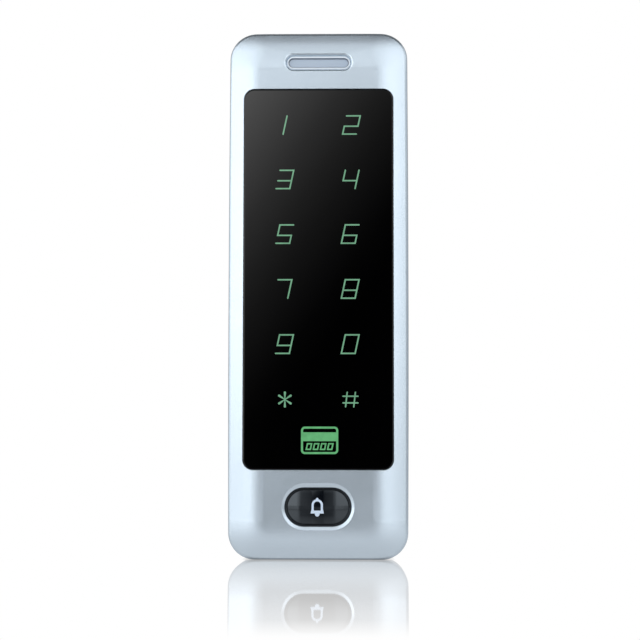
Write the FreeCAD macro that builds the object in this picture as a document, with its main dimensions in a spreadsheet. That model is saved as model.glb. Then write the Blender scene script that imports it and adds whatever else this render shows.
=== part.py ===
"""Slim metal keypad access reader, built as an assembly of separate pieces.

Frame: +X to the right seen from the front, +Z up, the wall is the plane y = 0 and
the front of the reader points to -Y.  The origin is the centre of the wall bracket's
back face.  A "level" is a distance from the wall, so level 22 is y = -22.
"""
import FreeCAD, Part
import math
import os
import Sketcher
from FreeCAD import Vector

DIMENSIONS = [
    ("housing_width", 60.0, "across the bowed long sides"),
    ("housing_height", 176.0, "from the bottom end to the top end"),
    ("housing_depth", 22.0, "from the wall to the front face"),
    ("rear_gap", 0.3, "from the wall to the housing's rear rim"),
    ("corner_radius", 8.8, "outer corners seen from the front"),
    ("side_bow", 0.25, "how far each long side bulges"),
    ("crown_inset", 12.0, "width of the soft slope round the front face"),
    ("crown_radius", 33.0, "curvature of that slope"),
    ("crown_corner", 1.0, "corner radius where the slope begins"),
    ("crown_overhang", 2.5, "reach of the slope's cut beyond the outline"),
    ("edge_radius", 1.4, "tight outer edge of the slope"),
    ("side_wall", 3.0, "side wall beside the cavity"),
    ("rim_wall", 1.5, "side wall beside the rear cover"),
    ("front_wall", 2.6, "front wall round the openings"),
    ("rim_depth", 6.8, "level of the ledge that the rear cover seals on"),
    ("cavity_radius", 5.8, "inner corners of the cavity"),
    ("panel_width", 49.8, "touch panel"),
    ("panel_height", 127.0, "touch panel"),
    ("panel_radius", 3.4, "touch panel corners"),
    ("panel_z", 5.05, "centre of the touch panel"),
    ("panel_drop", 0.4, "panel face below the front face"),
    ("panel_gap", 0.15, "gap all round the panel"),
    ("panel_chamfer", 0.35, "ground edge of the panel"),
    ("glass_thickness", 2.0, "touch panel"),
    ("tape_thickness", 0.2, "adhesive tape and printed film"),
    ("tape_inset", 0.2, "tape behind the edge of the panel"),
    ("film_gap", 0.1, "between the tape and the film"),
    ("panel_ledge", 2.3, "width of the ledge under the panel"),
    ("ledge_thickness", 1.7, "ledge under the panel"),
    ("key_column", 11.0, "key columns left and right of the centre"),
    ("key_row_top", 56.45, "height of the top key row"),
    ("key_pitch", 18.35, "from one key row to the next"),
    ("key_cell_width", 11.0, "light window behind a key"),
    ("key_cell_height", 11.5, "light window behind a key"),
    ("card_x", 0.5, "card symbol, right of the centre"),
    ("card_z", -48.75, "card symbol"),
    ("card_cell_width", 15.0, "light window behind the card symbol"),
    ("card_cell_height", 10.6, "light window behind the card symbol"),
    ("touch_board_thickness", 1.2, "capacitive touch board"),
    ("touch_board_gap", 0.2, "gap round the touch board"),
    ("light_box_gap", 0.5, "gap round the light box"),
    ("header_rise", 7.2, "board header above the top key row"),
    ("header_width", 13.4, "board header"),
    ("header_depth", 1.8, "board header"),
    ("board_front", 13.9, "level of the main board's front face"),
    ("board_thickness", 1.6, "main board"),
    ("board_width", 52.6, "main board"),
    ("board_height", 168.0, "main board"),
    ("board_notch", 10.0, "corner notches that clear the cover bosses"),
    ("lens_z", 77.65, "centre of the indicator lens"),
    ("lens_width", 21.3, "indicator lens"),
    ("lens_height", 4.5, "indicator lens"),
    ("lens_level", 21.0, "front face of the indicator lens"),
    ("lens_gap", 0.1, "gap all round the lens"),
    ("lens_flange", 1.2, "thickness of the lens flange"),
    ("lens_flange_reach", 1.5, "lens flange beyond the lens at its ends"),
    ("lens_round", 0.85, "rounded mouth of the lens opening"),
    ("lens_edge_radius", 0.25, "round edges of the lens"),
    ("lens_window_width", 20.1, "sunk window of the lens"),
    ("lens_window_height", 3.0, "sunk window of the lens"),
    ("lens_window_sink", 0.8, "depth of the sunk window"),
    ("lens_window_skin", 0.4, "clear skin in front of the diffuser"),
    ("bell_z", -70.65, "centre of the bell button"),
    ("bell_mouth_width", 23.9, "outer edge of the opening's chamfer"),
    ("bell_mouth_height", 15.7, "outer edge of the opening's chamfer"),
    ("bell_hole_width", 22.2, "bell opening"),
    ("bell_hole_height", 12.9, "bell opening"),
    ("bell_chamfer_depth", 0.45, "depth of the opening's chamfer"),
    ("bezel_level", 20.7, "front face of the bell bezel"),
    ("bezel_flange", 1.4, "bezel flange behind the opening"),
    ("cap_width", 20.2, "bell button cap"),
    ("cap_height", 11.1, "bell button cap"),
    ("cap_gap", 0.2, "between the cap and its bezel"),
    ("cap_dome", 1.0, "height of the cap's dome"),
    ("cap_long_radius", 60.0, "the dome's curvature along the cap"),
    ("cap_short_radius", 50.0, "the dome's curvature across the cap"),
    ("cap_edge_radius", 0.2, "round edge of the cap"),
    ("symbol_x", -0.25, "bell symbol, left of the cap's centre"),
    ("cap_lip", 0.4, "cap collar behind the bezel's lip"),
    ("boss_radius", 3.0, "bosses for the rear cover"),
    ("boss_x", 24.0, "bosses for the rear cover"),
    ("boss_z", 82.0, "bosses for the rear cover"),
    ("boss_hole_radius", 1.05, "threaded holes for the cover screws"),
    ("boss_hole_depth", 9.0, "threaded holes for the cover screws"),
    ("pillar_radius", 2.4, "pillars for the main board"),
    ("pillar_hole_radius", 0.9, "threaded holes for the board screws"),
    ("pillar_hole_depth", 4.5, "threaded holes for the board screws"),
    ("pillar_x", 20.5, "pillars for the main board"),
    ("pillar_top_z", 72.6, "upper pillars for the main board"),
    ("pillar_bottom_z", -66.0, "lower pillars for the main board"),
    ("gasket_thickness", 0.5, "rear cover gasket"),
    ("cover_thickness", 2.0, "rear cover"),
    ("fit_gap", 0.15, "clearance of the pieces that sit in the rim"),
    ("gasket_inset", 0.2, "gasket inside the edges of its seat"),
    ("grommet_groove", 4.6, "radius of the hole that the grommet grips"),
    ("grommet_radius", 6.2, "outside of the cable grommet"),
    ("bracket_thickness", 1.5, "wall bracket"),
    ("bracket_width", 56.0, "wall bracket"),
    ("bracket_height", 172.0, "wall bracket"),
    ("wall_hole_pitch", 120.0, "between the two wall screws"),
    ("wall_hole_radius", 2.25, "wall screw holes"),
    ("cable_z", 22.0, "centre of the cable passage"),
    ("cable_radius", 3.2, "bore of the cable grommet"),
    ("lock_screw_level", 2.95, "axis of the screw in the bottom end"),
]

# Levels and sizes that follow from the driving dimensions.
FRONT = "dims.housing_depth"
CEILING = "(dims.housing_depth - dims.front_wall)"
GLASS_FRONT = "(dims.housing_depth - dims.panel_drop)"
GLASS_BACK = "(dims.housing_depth - dims.panel_drop - dims.glass_thickness)"
LEDGE_FRONT = f"({GLASS_BACK} - dims.tape_thickness)"
LEDGE_BACK = f"({LEDGE_FRONT} - dims.ledge_thickness)"
TOUCH_BOARD_BACK = f"({LEDGE_FRONT} - dims.touch_board_thickness)"
BOARD_FRONT = "dims.board_front"
BOARD_BACK = "(dims.board_front - dims.board_thickness)"
COVER_FRONT = "(dims.rim_depth - dims.gasket_thickness)"
COVER_BACK = f"({COVER_FRONT} - dims.cover_thickness)"
BRACKET_FRONT = "dims.bracket_thickness"
LENS_FLANGE_BACK = f"({CEILING} - dims.lens_flange)"
LENS_HOLE_WIDTH = "(dims.lens_width + 2 * dims.lens_gap)"
LENS_HOLE_HEIGHT = "(dims.lens_height + 2 * dims.lens_gap)"
WINDOW_BACK = "(dims.lens_level - dims.lens_window_sink - dims.lens_window_skin)"
BEZEL_WIDTH = "(dims.bell_hole_width + 2 * dims.bezel_flange)"
BEZEL_HEIGHT = "(dims.bell_hole_height + 2 * dims.bezel_flange)"
BOTTOM_END = "-dims.housing_height / 2"

WINDOW_WIDTH = "(dims.panel_width - 2 * dims.panel_ledge)"
WINDOW_HEIGHT = "(dims.panel_height - 2 * dims.panel_ledge)"
WINDOW_RADIUS = "(dims.panel_radius - 1.4)"
BOSSES = [(f"{side}dims.boss_x", f"{end}dims.boss_z") for side in ("-", "") for end in ("-", "")]
PILLARS = [
    (f"{side}dims.pillar_x", height)
    for side in ("-", "")
    for height in ("dims.pillar_bottom_z", "dims.pillar_top_z")
]
KEYS = [
    (f"{side}dims.key_column", f"dims.key_row_top - {row} * dims.key_pitch")
    for row in range(6)
    for side in ("-", "")
]
CARD = ("dims.card_x", "dims.card_z")


def make_sheet(doc):
    """Put every driving dimension in a spreadsheet cell with its own alias."""
    sheet = doc.addObject("Spreadsheet::Sheet", "dims")
    for row, (alias, size, meaning) in enumerate(DIMENSIONS, start=1):
        sheet.set(f"A{row}", alias)
        sheet.set(f"B{row}", str(size))
        sheet.set(f"C{row}", meaning)
        sheet.setAlias(f"B{row}", alias)
    doc.recompute()
    return sheet


DOC = FreeCAD.newDocument("keypad_reader")
SHEET = make_sheet(DOC)


def number(expression):
    """Current value of an expression over the sheet's dimensions."""
    return float(SHEET.evalExpression(expression))


def new_body(label, x="0", z="0"):
    """A PartDesign body whose placement is bound to the sheet."""
    body = DOC.addObject("PartDesign::Body", label)
    body.Label = label
    body.AllowCompound = True
    body.setExpression("Placement.Base.x", x)
    body.setExpression("Placement.Base.z", z)
    return body


def origin_item(body, role):
    return next(item for item in body.Origin.OriginFeatures if item.Role == role)


def new_sketch(body, plane, level, name):
    """A sketch parallel to an origin plane; on XZ the level counts away from the wall."""
    sketch = body.newObject("Sketcher::SketchObject", name)
    sketch.AttachmentSupport = (origin_item(body, plane), [""])
    sketch.MapMode = "FlatFace"
    sketch.setExpression("AttachmentOffset.Base.z", level)
    return sketch


def bind(sketch, kind, *references, to):
    """Add a dimensional constraint and bind it to an expression."""
    index = sketch.addConstraint(Sketcher.Constraint(kind, *references, number(to)))
    sketch.setExpression(f"Constraints[{index}]", to)


def relate(sketch, kind, *references):
    sketch.addConstraint(Sketcher.Constraint(kind, *references))


def pin_point(sketch, geometry, position, x, y):
    """Fix a point's two coordinates with bound distances from the sketch origin."""
    bind(sketch, "DistanceX", -1, 1, geometry, position, to=x)
    bind(sketch, "DistanceY", -1, 1, geometry, position, to=y)


def polygon(*points):
    """Closed outline through points given as pairs of expressions."""
    def draw(sketch):
        corners = [Vector(number(x), number(y), 0) for x, y in points]
        lines = []
        for start, end in zip(corners, corners[1:] + corners[:1]):
            lines.append(sketch.addGeometry(Part.LineSegment(start, end), False))
        for line, follower in zip(lines, lines[1:] + lines[:1]):
            relate(sketch, "Coincident", line, 2, follower, 1)
        for line, (x, y) in zip(lines, points):
            pin_point(sketch, line, 1, x, y)
    return draw


def rectangle(width, height, x="0", y="0"):
    left, right = f"{x} - ({width}) / 2", f"{x} + ({width}) / 2"
    low, high = f"{y} - ({height}) / 2", f"{y} + ({height}) / 2"
    return polygon((left, low), (right, low), (right, high), (left, high))


def circle(radius, x="0", y="0"):
    def draw(sketch):
        shape = Part.Circle(Vector(number(x), number(y), 0), Vector(0, 0, 1), number(radius))
        index = sketch.addGeometry(shape, False)
        bind(sketch, "Radius", index, to=radius)
        pin_point(sketch, index, 3, x, y)
    return draw


def add_arc(sketch, centre, radius, start, end):
    """Add an arc of a circle, its ends in degrees."""
    ring = Part.Circle(Vector(centre[0], centre[1], 0), Vector(0, 0, 1), radius)
    return sketch.addGeometry(Part.ArcOfCircle(ring, math.radians(start), math.radians(end)), False)


def add_line(sketch, start, end):
    return sketch.addGeometry(Part.LineSegment(Vector(*start, 0), Vector(*end, 0)), False)


def rounded(width, height, radius, x="0", y="0"):
    """Rectangle with round corners."""
    def draw(sketch):
        r = number(radius)
        left, right = number(x) - number(width) / 2 + r, number(x) + number(width) / 2 - r
        low, high = number(y) - number(height) / 2 + r, number(y) + number(height) / 2 - r
        arcs = [
            add_arc(sketch, (left, low), r, 180, 270),
            add_arc(sketch, (right, low), r, 270, 360),
            add_arc(sketch, (right, high), r, 0, 90),
            add_arc(sketch, (left, high), r, 90, 180),
        ]
        lines = [
            add_line(sketch, (left, low - r), (right, low - r)),
            add_line(sketch, (right + r, low), (right + r, high)),
            add_line(sketch, (right, high + r), (left, high + r)),
            add_line(sketch, (left - r, high), (left - r, low)),
        ]
        for arc, line, next_arc in zip(arcs, lines, arcs[1:] + arcs[:1]):
            relate(sketch, "Tangent", arc, 2, line, 1)
            relate(sketch, "Tangent", line, 2, next_arc, 1)
        for other in arcs[1:]:
            relate(sketch, "Equal", arcs[0], other)
        for line, kind in zip(lines, ("Horizontal", "Vertical", "Horizontal", "Vertical")):
            relate(sketch, kind, line)
        bind(sketch, "Radius", arcs[0], to=radius)
        pin_point(sketch, arcs[0], 3, f"{x} - ({width}) / 2 + {radius}", f"{y} - ({height}) / 2 + {radius}")
        pin_point(sketch, arcs[2], 3, f"{x} + ({width}) / 2 - ({radius})", f"{y} + ({height}) / 2 - ({radius})")
    return draw


def stadium(width, height, x="0", y="0"):
    """Slot shape: two half circles joined by straight sides."""
    def draw(sketch):
        r = number(height) / 2
        left, right = number(x) - number(width) / 2 + r, number(x) + number(width) / 2 - r
        middle = number(y)
        arcs = [
            add_arc(sketch, (left, middle), r, 90, 270),
            add_arc(sketch, (right, middle), r, -90, 90),
        ]
        lines = [
            add_line(sketch, (left, middle - r), (right, middle - r)),
            add_line(sketch, (right, middle + r), (left, middle + r)),
        ]
        for arc, line, next_arc in zip(arcs, lines, arcs[::-1]):
            relate(sketch, "Tangent", arc, 2, line, 1)
            relate(sketch, "Tangent", line, 2, next_arc, 1)
        relate(sketch, "Equal", arcs[0], arcs[1])
        bind(sketch, "Radius", arcs[0], to=f"({height}) / 2")
        pin_point(sketch, arcs[0], 3, f"{x} - ({width}) / 2 + ({height}) / 2", y)
        pin_point(sketch, arcs[1], 3, f"{x} + ({width}) / 2 - ({height}) / 2", y)
    return draw


def bowed():
    """The housing's outline: straight ends, slightly bowed long sides and round corners."""
    def draw(sketch):
        w, h, r = number("dims.housing_width / 2"), number("dims.housing_height / 2"), number("dims.corner_radius")
        bow = number("dims.side_bow")
        straight = h - r
        side_radius = (straight ** 2 + bow ** 2) / (2 * bow)
        side_centre = w - side_radius
        corner_x = side_centre + math.sqrt((side_radius - r) ** 2 - straight ** 2)
        lean = math.degrees(math.atan2(straight, corner_x - side_centre))
        arcs = [
            add_arc(sketch, (side_centre, 0), side_radius, -lean, lean),
            add_arc(sketch, (corner_x, straight), r, lean, 90),
            add_arc(sketch, (-corner_x, straight), r, 90, 180 - lean),
            add_arc(sketch, (-side_centre, 0), side_radius, 180 - lean, 180 + lean),
            add_arc(sketch, (-corner_x, -straight), r, 180 + lean, 270),
            add_arc(sketch, (corner_x, -straight), r, 270, 360 - lean),
        ]
        top = add_line(sketch, (corner_x, h), (-corner_x, h))
        bottom = add_line(sketch, (-corner_x, -h), (corner_x, -h))
        chain = [arcs[0], arcs[1], top, arcs[2], arcs[3], arcs[4], bottom, arcs[5]]
        for item, follower in zip(chain, chain[1:] + chain[:1]):
            relate(sketch, "Tangent", item, 2, follower, 1)
        for corner in (arcs[2], arcs[4], arcs[5]):
            relate(sketch, "Equal", arcs[1], corner)
        relate(sketch, "Equal", arcs[0], arcs[3])
        bind(sketch, "Radius", arcs[1], to="dims.corner_radius")
        pin_point(sketch, arcs[1], 3, str(corner_x), "dims.housing_height / 2 - dims.corner_radius")
        pin_point(sketch, arcs[0], 3, str(side_centre), "0")
        pin_point(sketch, arcs[3], 3, str(-side_centre), "0")
        relate(sketch, "Horizontal", top)
        relate(sketch, "Horizontal", bottom)
        bind(sketch, "DistanceY", -1, 1, bottom, 1, to=BOTTOM_END)
    return draw


def draw_on(body, plane, level, name, outlines):
    sketch = new_sketch(body, plane, level, name)
    for outline in outlines:
        outline(sketch)
    return sketch


def add(body, bottom, top, *outlines, plane="XZ_Plane"):
    """Pad the outlines from one level up to another."""
    sketch = draw_on(body, plane, bottom, body.Label + "_outline", outlines)
    pad = body.newObject("PartDesign::Pad", body.Label + "_pad")
    pad.Profile = sketch
    pad.setExpression("Length", f"({top}) - ({bottom})")
    return pad


def cut(body, bottom, top, *outlines, plane="XZ_Plane"):
    """Pocket the outlines from one level down to another."""
    sketch = draw_on(body, plane, top, body.Label + "_cut_outline", outlines)
    pocket = body.newObject("PartDesign::Pocket", body.Label + "_pocket")
    pocket.Profile = sketch
    pocket.setExpression("Length", f"({top}) - ({bottom})")
    return pocket


def revolve(body, outline, cutting=False, plane="YZ_Plane", level="0", axis="H_Axis"):
    """Turn an outline about a sketch axis; by default about the body's own Y axis."""
    sketch = draw_on(body, plane, level, body.Label + "_section", [outline])
    kind = "PartDesign::Groove" if cutting else "PartDesign::Revolution"
    turned = body.newObject(kind, body.Label + "_turned")
    turned.Profile = sketch
    turned.ReferenceAxis = (sketch, [axis])
    turned.Angle = 360
    return turned


def repeat_along(body, feature, count, step):
    """Repeat a feature along X at an even step."""
    DOC.recompute()
    pattern = body.newObject("PartDesign::LinearPattern", body.Label + "_row")
    pattern.Originals = [feature]
    pattern.Direction = (origin_item(body, "X_Axis"), [""])
    pattern.Length = step * (count - 1)
    pattern.Occurrences = count
    body.Tip = pattern
    return pattern


def round_edges(body, kind, size, belongs):
    """Fillet or chamfer the edges of the body's tip that pass a test."""
    DOC.recompute()
    base = body.Tip
    names = [f"Edge{i}" for i, edge in enumerate(base.Shape.Edges, start=1) if belongs(edge)]
    dressing = body.newObject(f"PartDesign::{kind}", f"{body.Label}_{kind.lower()}")
    dressing.Base = (base, names)
    dressing.setExpression("Size" if kind == "Chamfer" else "Radius", size)
    return dressing


def at_level(level):
    """Test for edges that lie wholly at one distance from the wall."""
    def belongs(edge):
        return abs(edge.BoundBox.YMin + level) < 1e-4 and abs(edge.BoundBox.YMax + level) < 1e-4
    return belongs


def between_levels(low, high):
    """Test for edges that lie wholly between two distances from the wall."""
    def belongs(edge):
        return number(low) < -edge.BoundBox.YMax and -edge.BoundBox.YMin < number(high)
    return belongs


def around(width, z):
    """Test for edges whose ends lie beside a point on the middle line, in a frame half as high as wide."""
    def belongs(edge):
        reach = number(width) / 2 + 1e-3
        return all(abs(end.X) < reach and abs(end.Z - number(z)) < reach / 2 for end in edge.Vertexes)
    return belongs


def slope(body, path, start, level, run, radius):
    """Carve a gentle slope that begins at a path and falls away outwards."""
    spine = draw_on(body, "XZ_Plane", level, body.Label + "_slope_path", [path])

    def section(sketch):
        x_start, front = number(start), -number(level)
        width, big = number(run), number(radius)
        depth = big - math.sqrt(big ** 2 - width ** 2)
        turn = math.degrees(math.asin(width / big))
        arc = add_arc(sketch, (x_start, front + big), big, -90, turn - 90)
        corners = [
            (x_start + width, front + depth),
            (x_start + width, front - 1),
            (x_start, front - 1),
            (x_start, front),
        ]
        lines = [add_line(sketch, begin, end) for begin, end in zip(corners, corners[1:])]
        relate(sketch, "Vertical", arc, 3, arc, 1)
        relate(sketch, "Coincident", arc, 2, lines[0], 1)
        relate(sketch, "Coincident", lines[2], 2, arc, 1)
        for line, follower in zip(lines, lines[1:]):
            relate(sketch, "Coincident", line, 2, follower, 1)
        for line, kind in zip(lines, ("Vertical", "Horizontal", "Vertical")):
            relate(sketch, kind, line)
        bind(sketch, "Radius", arc, to=radius)
        pin_point(sketch, arc, 3, start, f"{radius} - {level}")
        pin_point(sketch, lines[1], 1, f"{start} + {run}", f"-{level} - 1")

    profile = draw_on(body, "XY_Plane", "0", body.Label + "_slope_section", [section])
    pipe = body.newObject("PartDesign::SubtractivePipe", body.Label + "_slope")
    pipe.Profile = profile
    pipe.Spine = (spine, [])
    return pipe


def cut_loft(body, upper, upper_outline, lower, lower_outline):
    """Cut a tapered opening between two outlines."""
    profile = draw_on(body, "XZ_Plane", upper, body.Label + "_loft_mouth", [upper_outline])
    section = draw_on(body, "XZ_Plane", lower, body.Label + "_loft_throat", [lower_outline])
    loft = body.newObject("PartDesign::SubtractiveLoft", body.Label + "_taper")
    loft.Profile = profile
    loft.Sections = [(section, [""])]
    loft.Ruled = True
    return loft


def front_housing():
    """Die-cast shell with the openings, the panel ledge, the bosses and the pillars."""
    body = new_body("front_housing")
    add(body, "dims.rear_gap", FRONT, bowed())
    slope(body, rounded(
        "dims.housing_width - 2 * dims.crown_inset", "dims.housing_height - 2 * dims.crown_inset",
        "dims.crown_corner"), "(dims.housing_width / 2 - dims.crown_inset)",
        FRONT, "(dims.crown_inset + dims.crown_overhang)", "dims.crown_radius")
    round_edges(body, "Fillet", "dims.edge_radius", between_levels("dims.housing_depth / 2", f"{FRONT} - 0.5"))
    cut(body, "0", "dims.rim_depth", rounded(
        "dims.housing_width - 2 * dims.rim_wall", "dims.housing_height - 2 * dims.rim_wall",
        "dims.corner_radius - dims.rim_wall"))
    cut(body, "0", CEILING, rounded(
        "dims.housing_width - 2 * dims.side_wall", "dims.housing_height - 2 * dims.side_wall",
        "dims.cavity_radius"))
    add(body, LEDGE_BACK, CEILING, rounded(
        "dims.panel_width + 4", "dims.panel_height + 4", "dims.panel_radius + 2", "0", "dims.panel_z"))
    cut(body, LEDGE_FRONT, FRONT, rounded(
        "dims.panel_width + 2 * dims.panel_gap", "dims.panel_height + 2 * dims.panel_gap",
        "dims.panel_radius + dims.panel_gap", "0", "dims.panel_z"))
    cut(body, LEDGE_BACK, LEDGE_FRONT, rounded(
        WINDOW_WIDTH, WINDOW_HEIGHT, WINDOW_RADIUS, "0", "dims.panel_z"))
    cut(body, CEILING, FRONT, stadium(LENS_HOLE_WIDTH, LENS_HOLE_HEIGHT, "0", "dims.lens_z"))
    outside, mouth = between_levels(CEILING, f"{FRONT} + 0.1"), around(LENS_HOLE_WIDTH, "dims.lens_z")
    round_edges(body, "Fillet", "dims.lens_round", lambda edge: outside(edge) and mouth(edge))
    bell_hole = stadium("dims.bell_hole_width", "dims.bell_hole_height", "0", "dims.bell_z")
    cut_loft(body, FRONT, stadium(
        "dims.bell_mouth_width", "dims.bell_mouth_height", "0", "dims.bell_z"),
        f"{FRONT} - dims.bell_chamfer_depth", bell_hole)
    cut(body, CEILING, FRONT, bell_hole)
    add(body, "dims.rim_depth", CEILING, *[circle("dims.boss_radius", x, z) for x, z in BOSSES])
    cut(body, "dims.rim_depth", "dims.rim_depth + dims.boss_hole_depth",
        *[circle("dims.boss_hole_radius", x, z) for x, z in BOSSES])
    add(body, BOARD_FRONT, CEILING, *[circle("dims.pillar_radius", x, z) for x, z in PILLARS])
    cut(body, BOARD_FRONT, f"{BOARD_FRONT} + dims.pillar_hole_depth",
        *[circle("dims.pillar_hole_radius", x, z) for x, z in PILLARS])
    revolve(body, polygon(
        ("0", f"{BOTTOM_END} - 0.2"), ("2.55", f"{BOTTOM_END} - 0.2"), ("2.35", BOTTOM_END),
        ("1.1", f"{BOTTOM_END} + 1.25"), ("1.1", f"{BOTTOM_END} + 3"), ("0", f"{BOTTOM_END} + 3")),
        cutting=True, plane="XZ_Plane", level="dims.lock_screw_level", axis="V_Axis")


def touch_panel():
    """Dark glass front plate with a ground edge."""
    body = new_body("touch_panel", z="dims.panel_z")
    add(body, GLASS_BACK, GLASS_FRONT, rounded("dims.panel_width", "dims.panel_height", "dims.panel_radius"))
    round_edges(body, "Chamfer", "dims.panel_chamfer", at_level(number(GLASS_FRONT)))


def panel_tape():
    body = new_body("panel_tape", z="dims.panel_z")
    add(body, LEDGE_FRONT, GLASS_BACK,
        rounded("dims.panel_width - 2 * dims.tape_inset", "dims.panel_height - 2 * dims.tape_inset",
                "dims.panel_radius"),
        rounded(f"{WINDOW_WIDTH} + 2 * dims.film_gap", f"{WINDOW_HEIGHT} + 2 * dims.film_gap",
                f"{WINDOW_RADIUS} + dims.film_gap"))


def legend_film():
    """Printed film that masks the light to the shape of each legend."""
    body = new_body("legend_film", z="dims.panel_z")
    add(body, LEDGE_FRONT, GLASS_BACK, rounded(WINDOW_WIDTH, WINDOW_HEIGHT, WINDOW_RADIUS))


def touch_board():
    """Capacitive board with a light window behind every key."""
    body = new_body("touch_board")
    add(body, TOUCH_BOARD_BACK, LEDGE_FRONT, rounded(
        f"{WINDOW_WIDTH} - 2 * dims.touch_board_gap", f"{WINDOW_HEIGHT} - 2 * dims.touch_board_gap",
        f"{WINDOW_RADIUS} - dims.touch_board_gap", "0", "dims.panel_z"))
    windows = [rectangle("dims.key_cell_width - 3.4", "dims.key_cell_height - 2.6", x, z) for x, z in KEYS]
    card = rectangle("dims.card_cell_width - 1.4", "dims.card_cell_height - 0.8", *CARD)
    cut(body, TOUCH_BOARD_BACK, LEDGE_FRONT, *windows, card)


def light_box():
    """Black grid that keeps each key's light to itself."""
    body = new_body("light_box")
    add(body, BOARD_FRONT, TOUCH_BOARD_BACK, rounded(
        f"{WINDOW_WIDTH} - 2 * dims.light_box_gap", f"{WINDOW_HEIGHT} - 2 * dims.light_box_gap",
        f"{WINDOW_RADIUS} - dims.touch_board_gap", "0", "dims.panel_z"))
    cells = [rectangle("dims.key_cell_width", "dims.key_cell_height", x, z) for x, z in KEYS]
    card = rectangle("dims.card_cell_width", "dims.card_cell_height", *CARD)
    header = rectangle(
        "dims.header_width + 0.6", "dims.header_depth + 0.4", "0", "dims.key_row_top + dims.header_rise")
    cut(body, BOARD_FRONT, TOUCH_BOARD_BACK, *cells, card, header)


def board_header():
    """Pins and socket that join the touch board to the main board."""
    body = new_body("board_header", z="dims.key_row_top + dims.header_rise")
    add(body, BOARD_FRONT, TOUCH_BOARD_BACK, rectangle("dims.header_width", "dims.header_depth"))


def main_board():
    """Main circuit board with notched corners."""
    body = new_body("main_board")
    half_width, half_height = "dims.board_width / 2", "dims.board_height / 2"
    notch_x, notch_z = f"({half_width} - dims.board_notch)", f"({half_height} - dims.board_notch)"
    corners = [
        (f"-{half_width}", f"-{notch_z}"), (f"-{notch_x}", f"-{notch_z}"),
        (f"-{notch_x}", f"-{half_height}"), (notch_x, f"-{half_height}"),
        (notch_x, f"-{notch_z}"), (half_width, f"-{notch_z}"),
        (half_width, notch_z), (notch_x, notch_z),
        (notch_x, half_height), (f"-{notch_x}", half_height),
        (f"-{notch_x}", notch_z), (f"-{half_width}", notch_z),
    ]
    holes = [circle("1.0", x, z) for x, z in PILLARS]
    add(body, BOARD_BACK, BOARD_FRONT, polygon(*corners), *holes)


def backlight_leds():
    body = new_body("backlight_leds")
    places = KEYS + [CARD]
    add(body, BOARD_FRONT, f"{BOARD_FRONT} + 0.8", *[rectangle("3.0", "1.6", x, z) for x, z in places])


def status_leds():
    """Three coloured indicator LEDs under the diffuser."""
    body = new_body("status_leds", z="dims.lens_z")
    places = ("-6.5", "0", "6.5")
    add(body, BOARD_FRONT, f"{BOARD_FRONT} + 1.9", *[rectangle("3.2", "2.6", x) for x in places])


def antenna_coil():
    """Wound reader coil that lies round the light box."""
    body = new_body("antenna_coil", z="dims.panel_z")
    inner = rounded(f"{WINDOW_WIDTH} - 0.4", f"{WINDOW_HEIGHT} - 0.4", "dims.panel_radius - 1.2")
    outer = rounded(f"{WINDOW_WIDTH} + 2.8", f"{WINDOW_HEIGHT} + 2.8", "dims.panel_radius + 0.4")
    low, high = f"{BOARD_FRONT} + 0.2", f"{BOARD_FRONT} + 3"
    add(body, low, high, outer, inner)
    low_edge, high_edge = at_level(number(low)), at_level(number(high))
    round_edges(body, "Fillet", "0.6", lambda edge: low_edge(edge) or high_edge(edge))


def indicator_lens():
    """Clear lens with a flange behind the front wall and a sunk window."""
    body = new_body("indicator_lens", z="dims.lens_z")
    window = stadium("dims.lens_window_width", "dims.lens_window_height")
    add(body, LENS_FLANGE_BACK, CEILING, stadium(
        "dims.lens_width + 2 * dims.lens_flange_reach", "dims.lens_height + 2.6"))
    add(body, CEILING, "dims.lens_level", stadium("dims.lens_width", "dims.lens_height"))
    cut(body, "dims.lens_level - dims.lens_window_sink", "dims.lens_level", window)
    cut(body, LENS_FLANGE_BACK, WINDOW_BACK, window)
    round_edges(body, "Fillet", "dims.lens_edge_radius", at_level(number("dims.lens_level")))


def indicator_diffuser():
    """Milky light guide between the indicator LEDs and the lens."""
    body = new_body("indicator_diffuser", z="dims.lens_z")
    add(body, f"{BOARD_FRONT} + 2.1", f"{WINDOW_BACK} - 0.05", stadium(
        "dims.lens_window_width - 0.1", "dims.lens_window_height - 0.1"))


def bell_button_bezel():
    """Black ring held behind the front wall; its lip keeps the cap in."""
    body = new_body("bell_button_bezel", z="dims.bell_z")
    flange_back = f"({CEILING} - dims.bezel_flange)"
    add(body, flange_back, CEILING, stadium(BEZEL_WIDTH, BEZEL_HEIGHT))
    add(body, CEILING, "dims.bezel_level", stadium("dims.bell_hole_width - 0.2", "dims.bell_hole_height - 0.2"))
    cut(body, CEILING, "dims.bezel_level", stadium(
        "dims.cap_width + 2 * dims.cap_gap", "dims.cap_height + 2 * dims.cap_gap"))
    cut(body, flange_back, CEILING, stadium(
        "dims.cap_width + 2 * dims.cap_lip + 2 * dims.cap_gap",
        "dims.cap_height + 2 * dims.cap_lip + 2 * dims.cap_gap"))
    round_edges(body, "Fillet", "0.2", at_level(number("dims.bezel_level")))


CAP_OUTLINE = stadium("dims.cap_width", "dims.cap_height")
CAP_TOP = "(dims.bezel_level + dims.cap_dome)"
SYMBOL_BACK = f"({CAP_TOP} - 0.9)"


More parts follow.
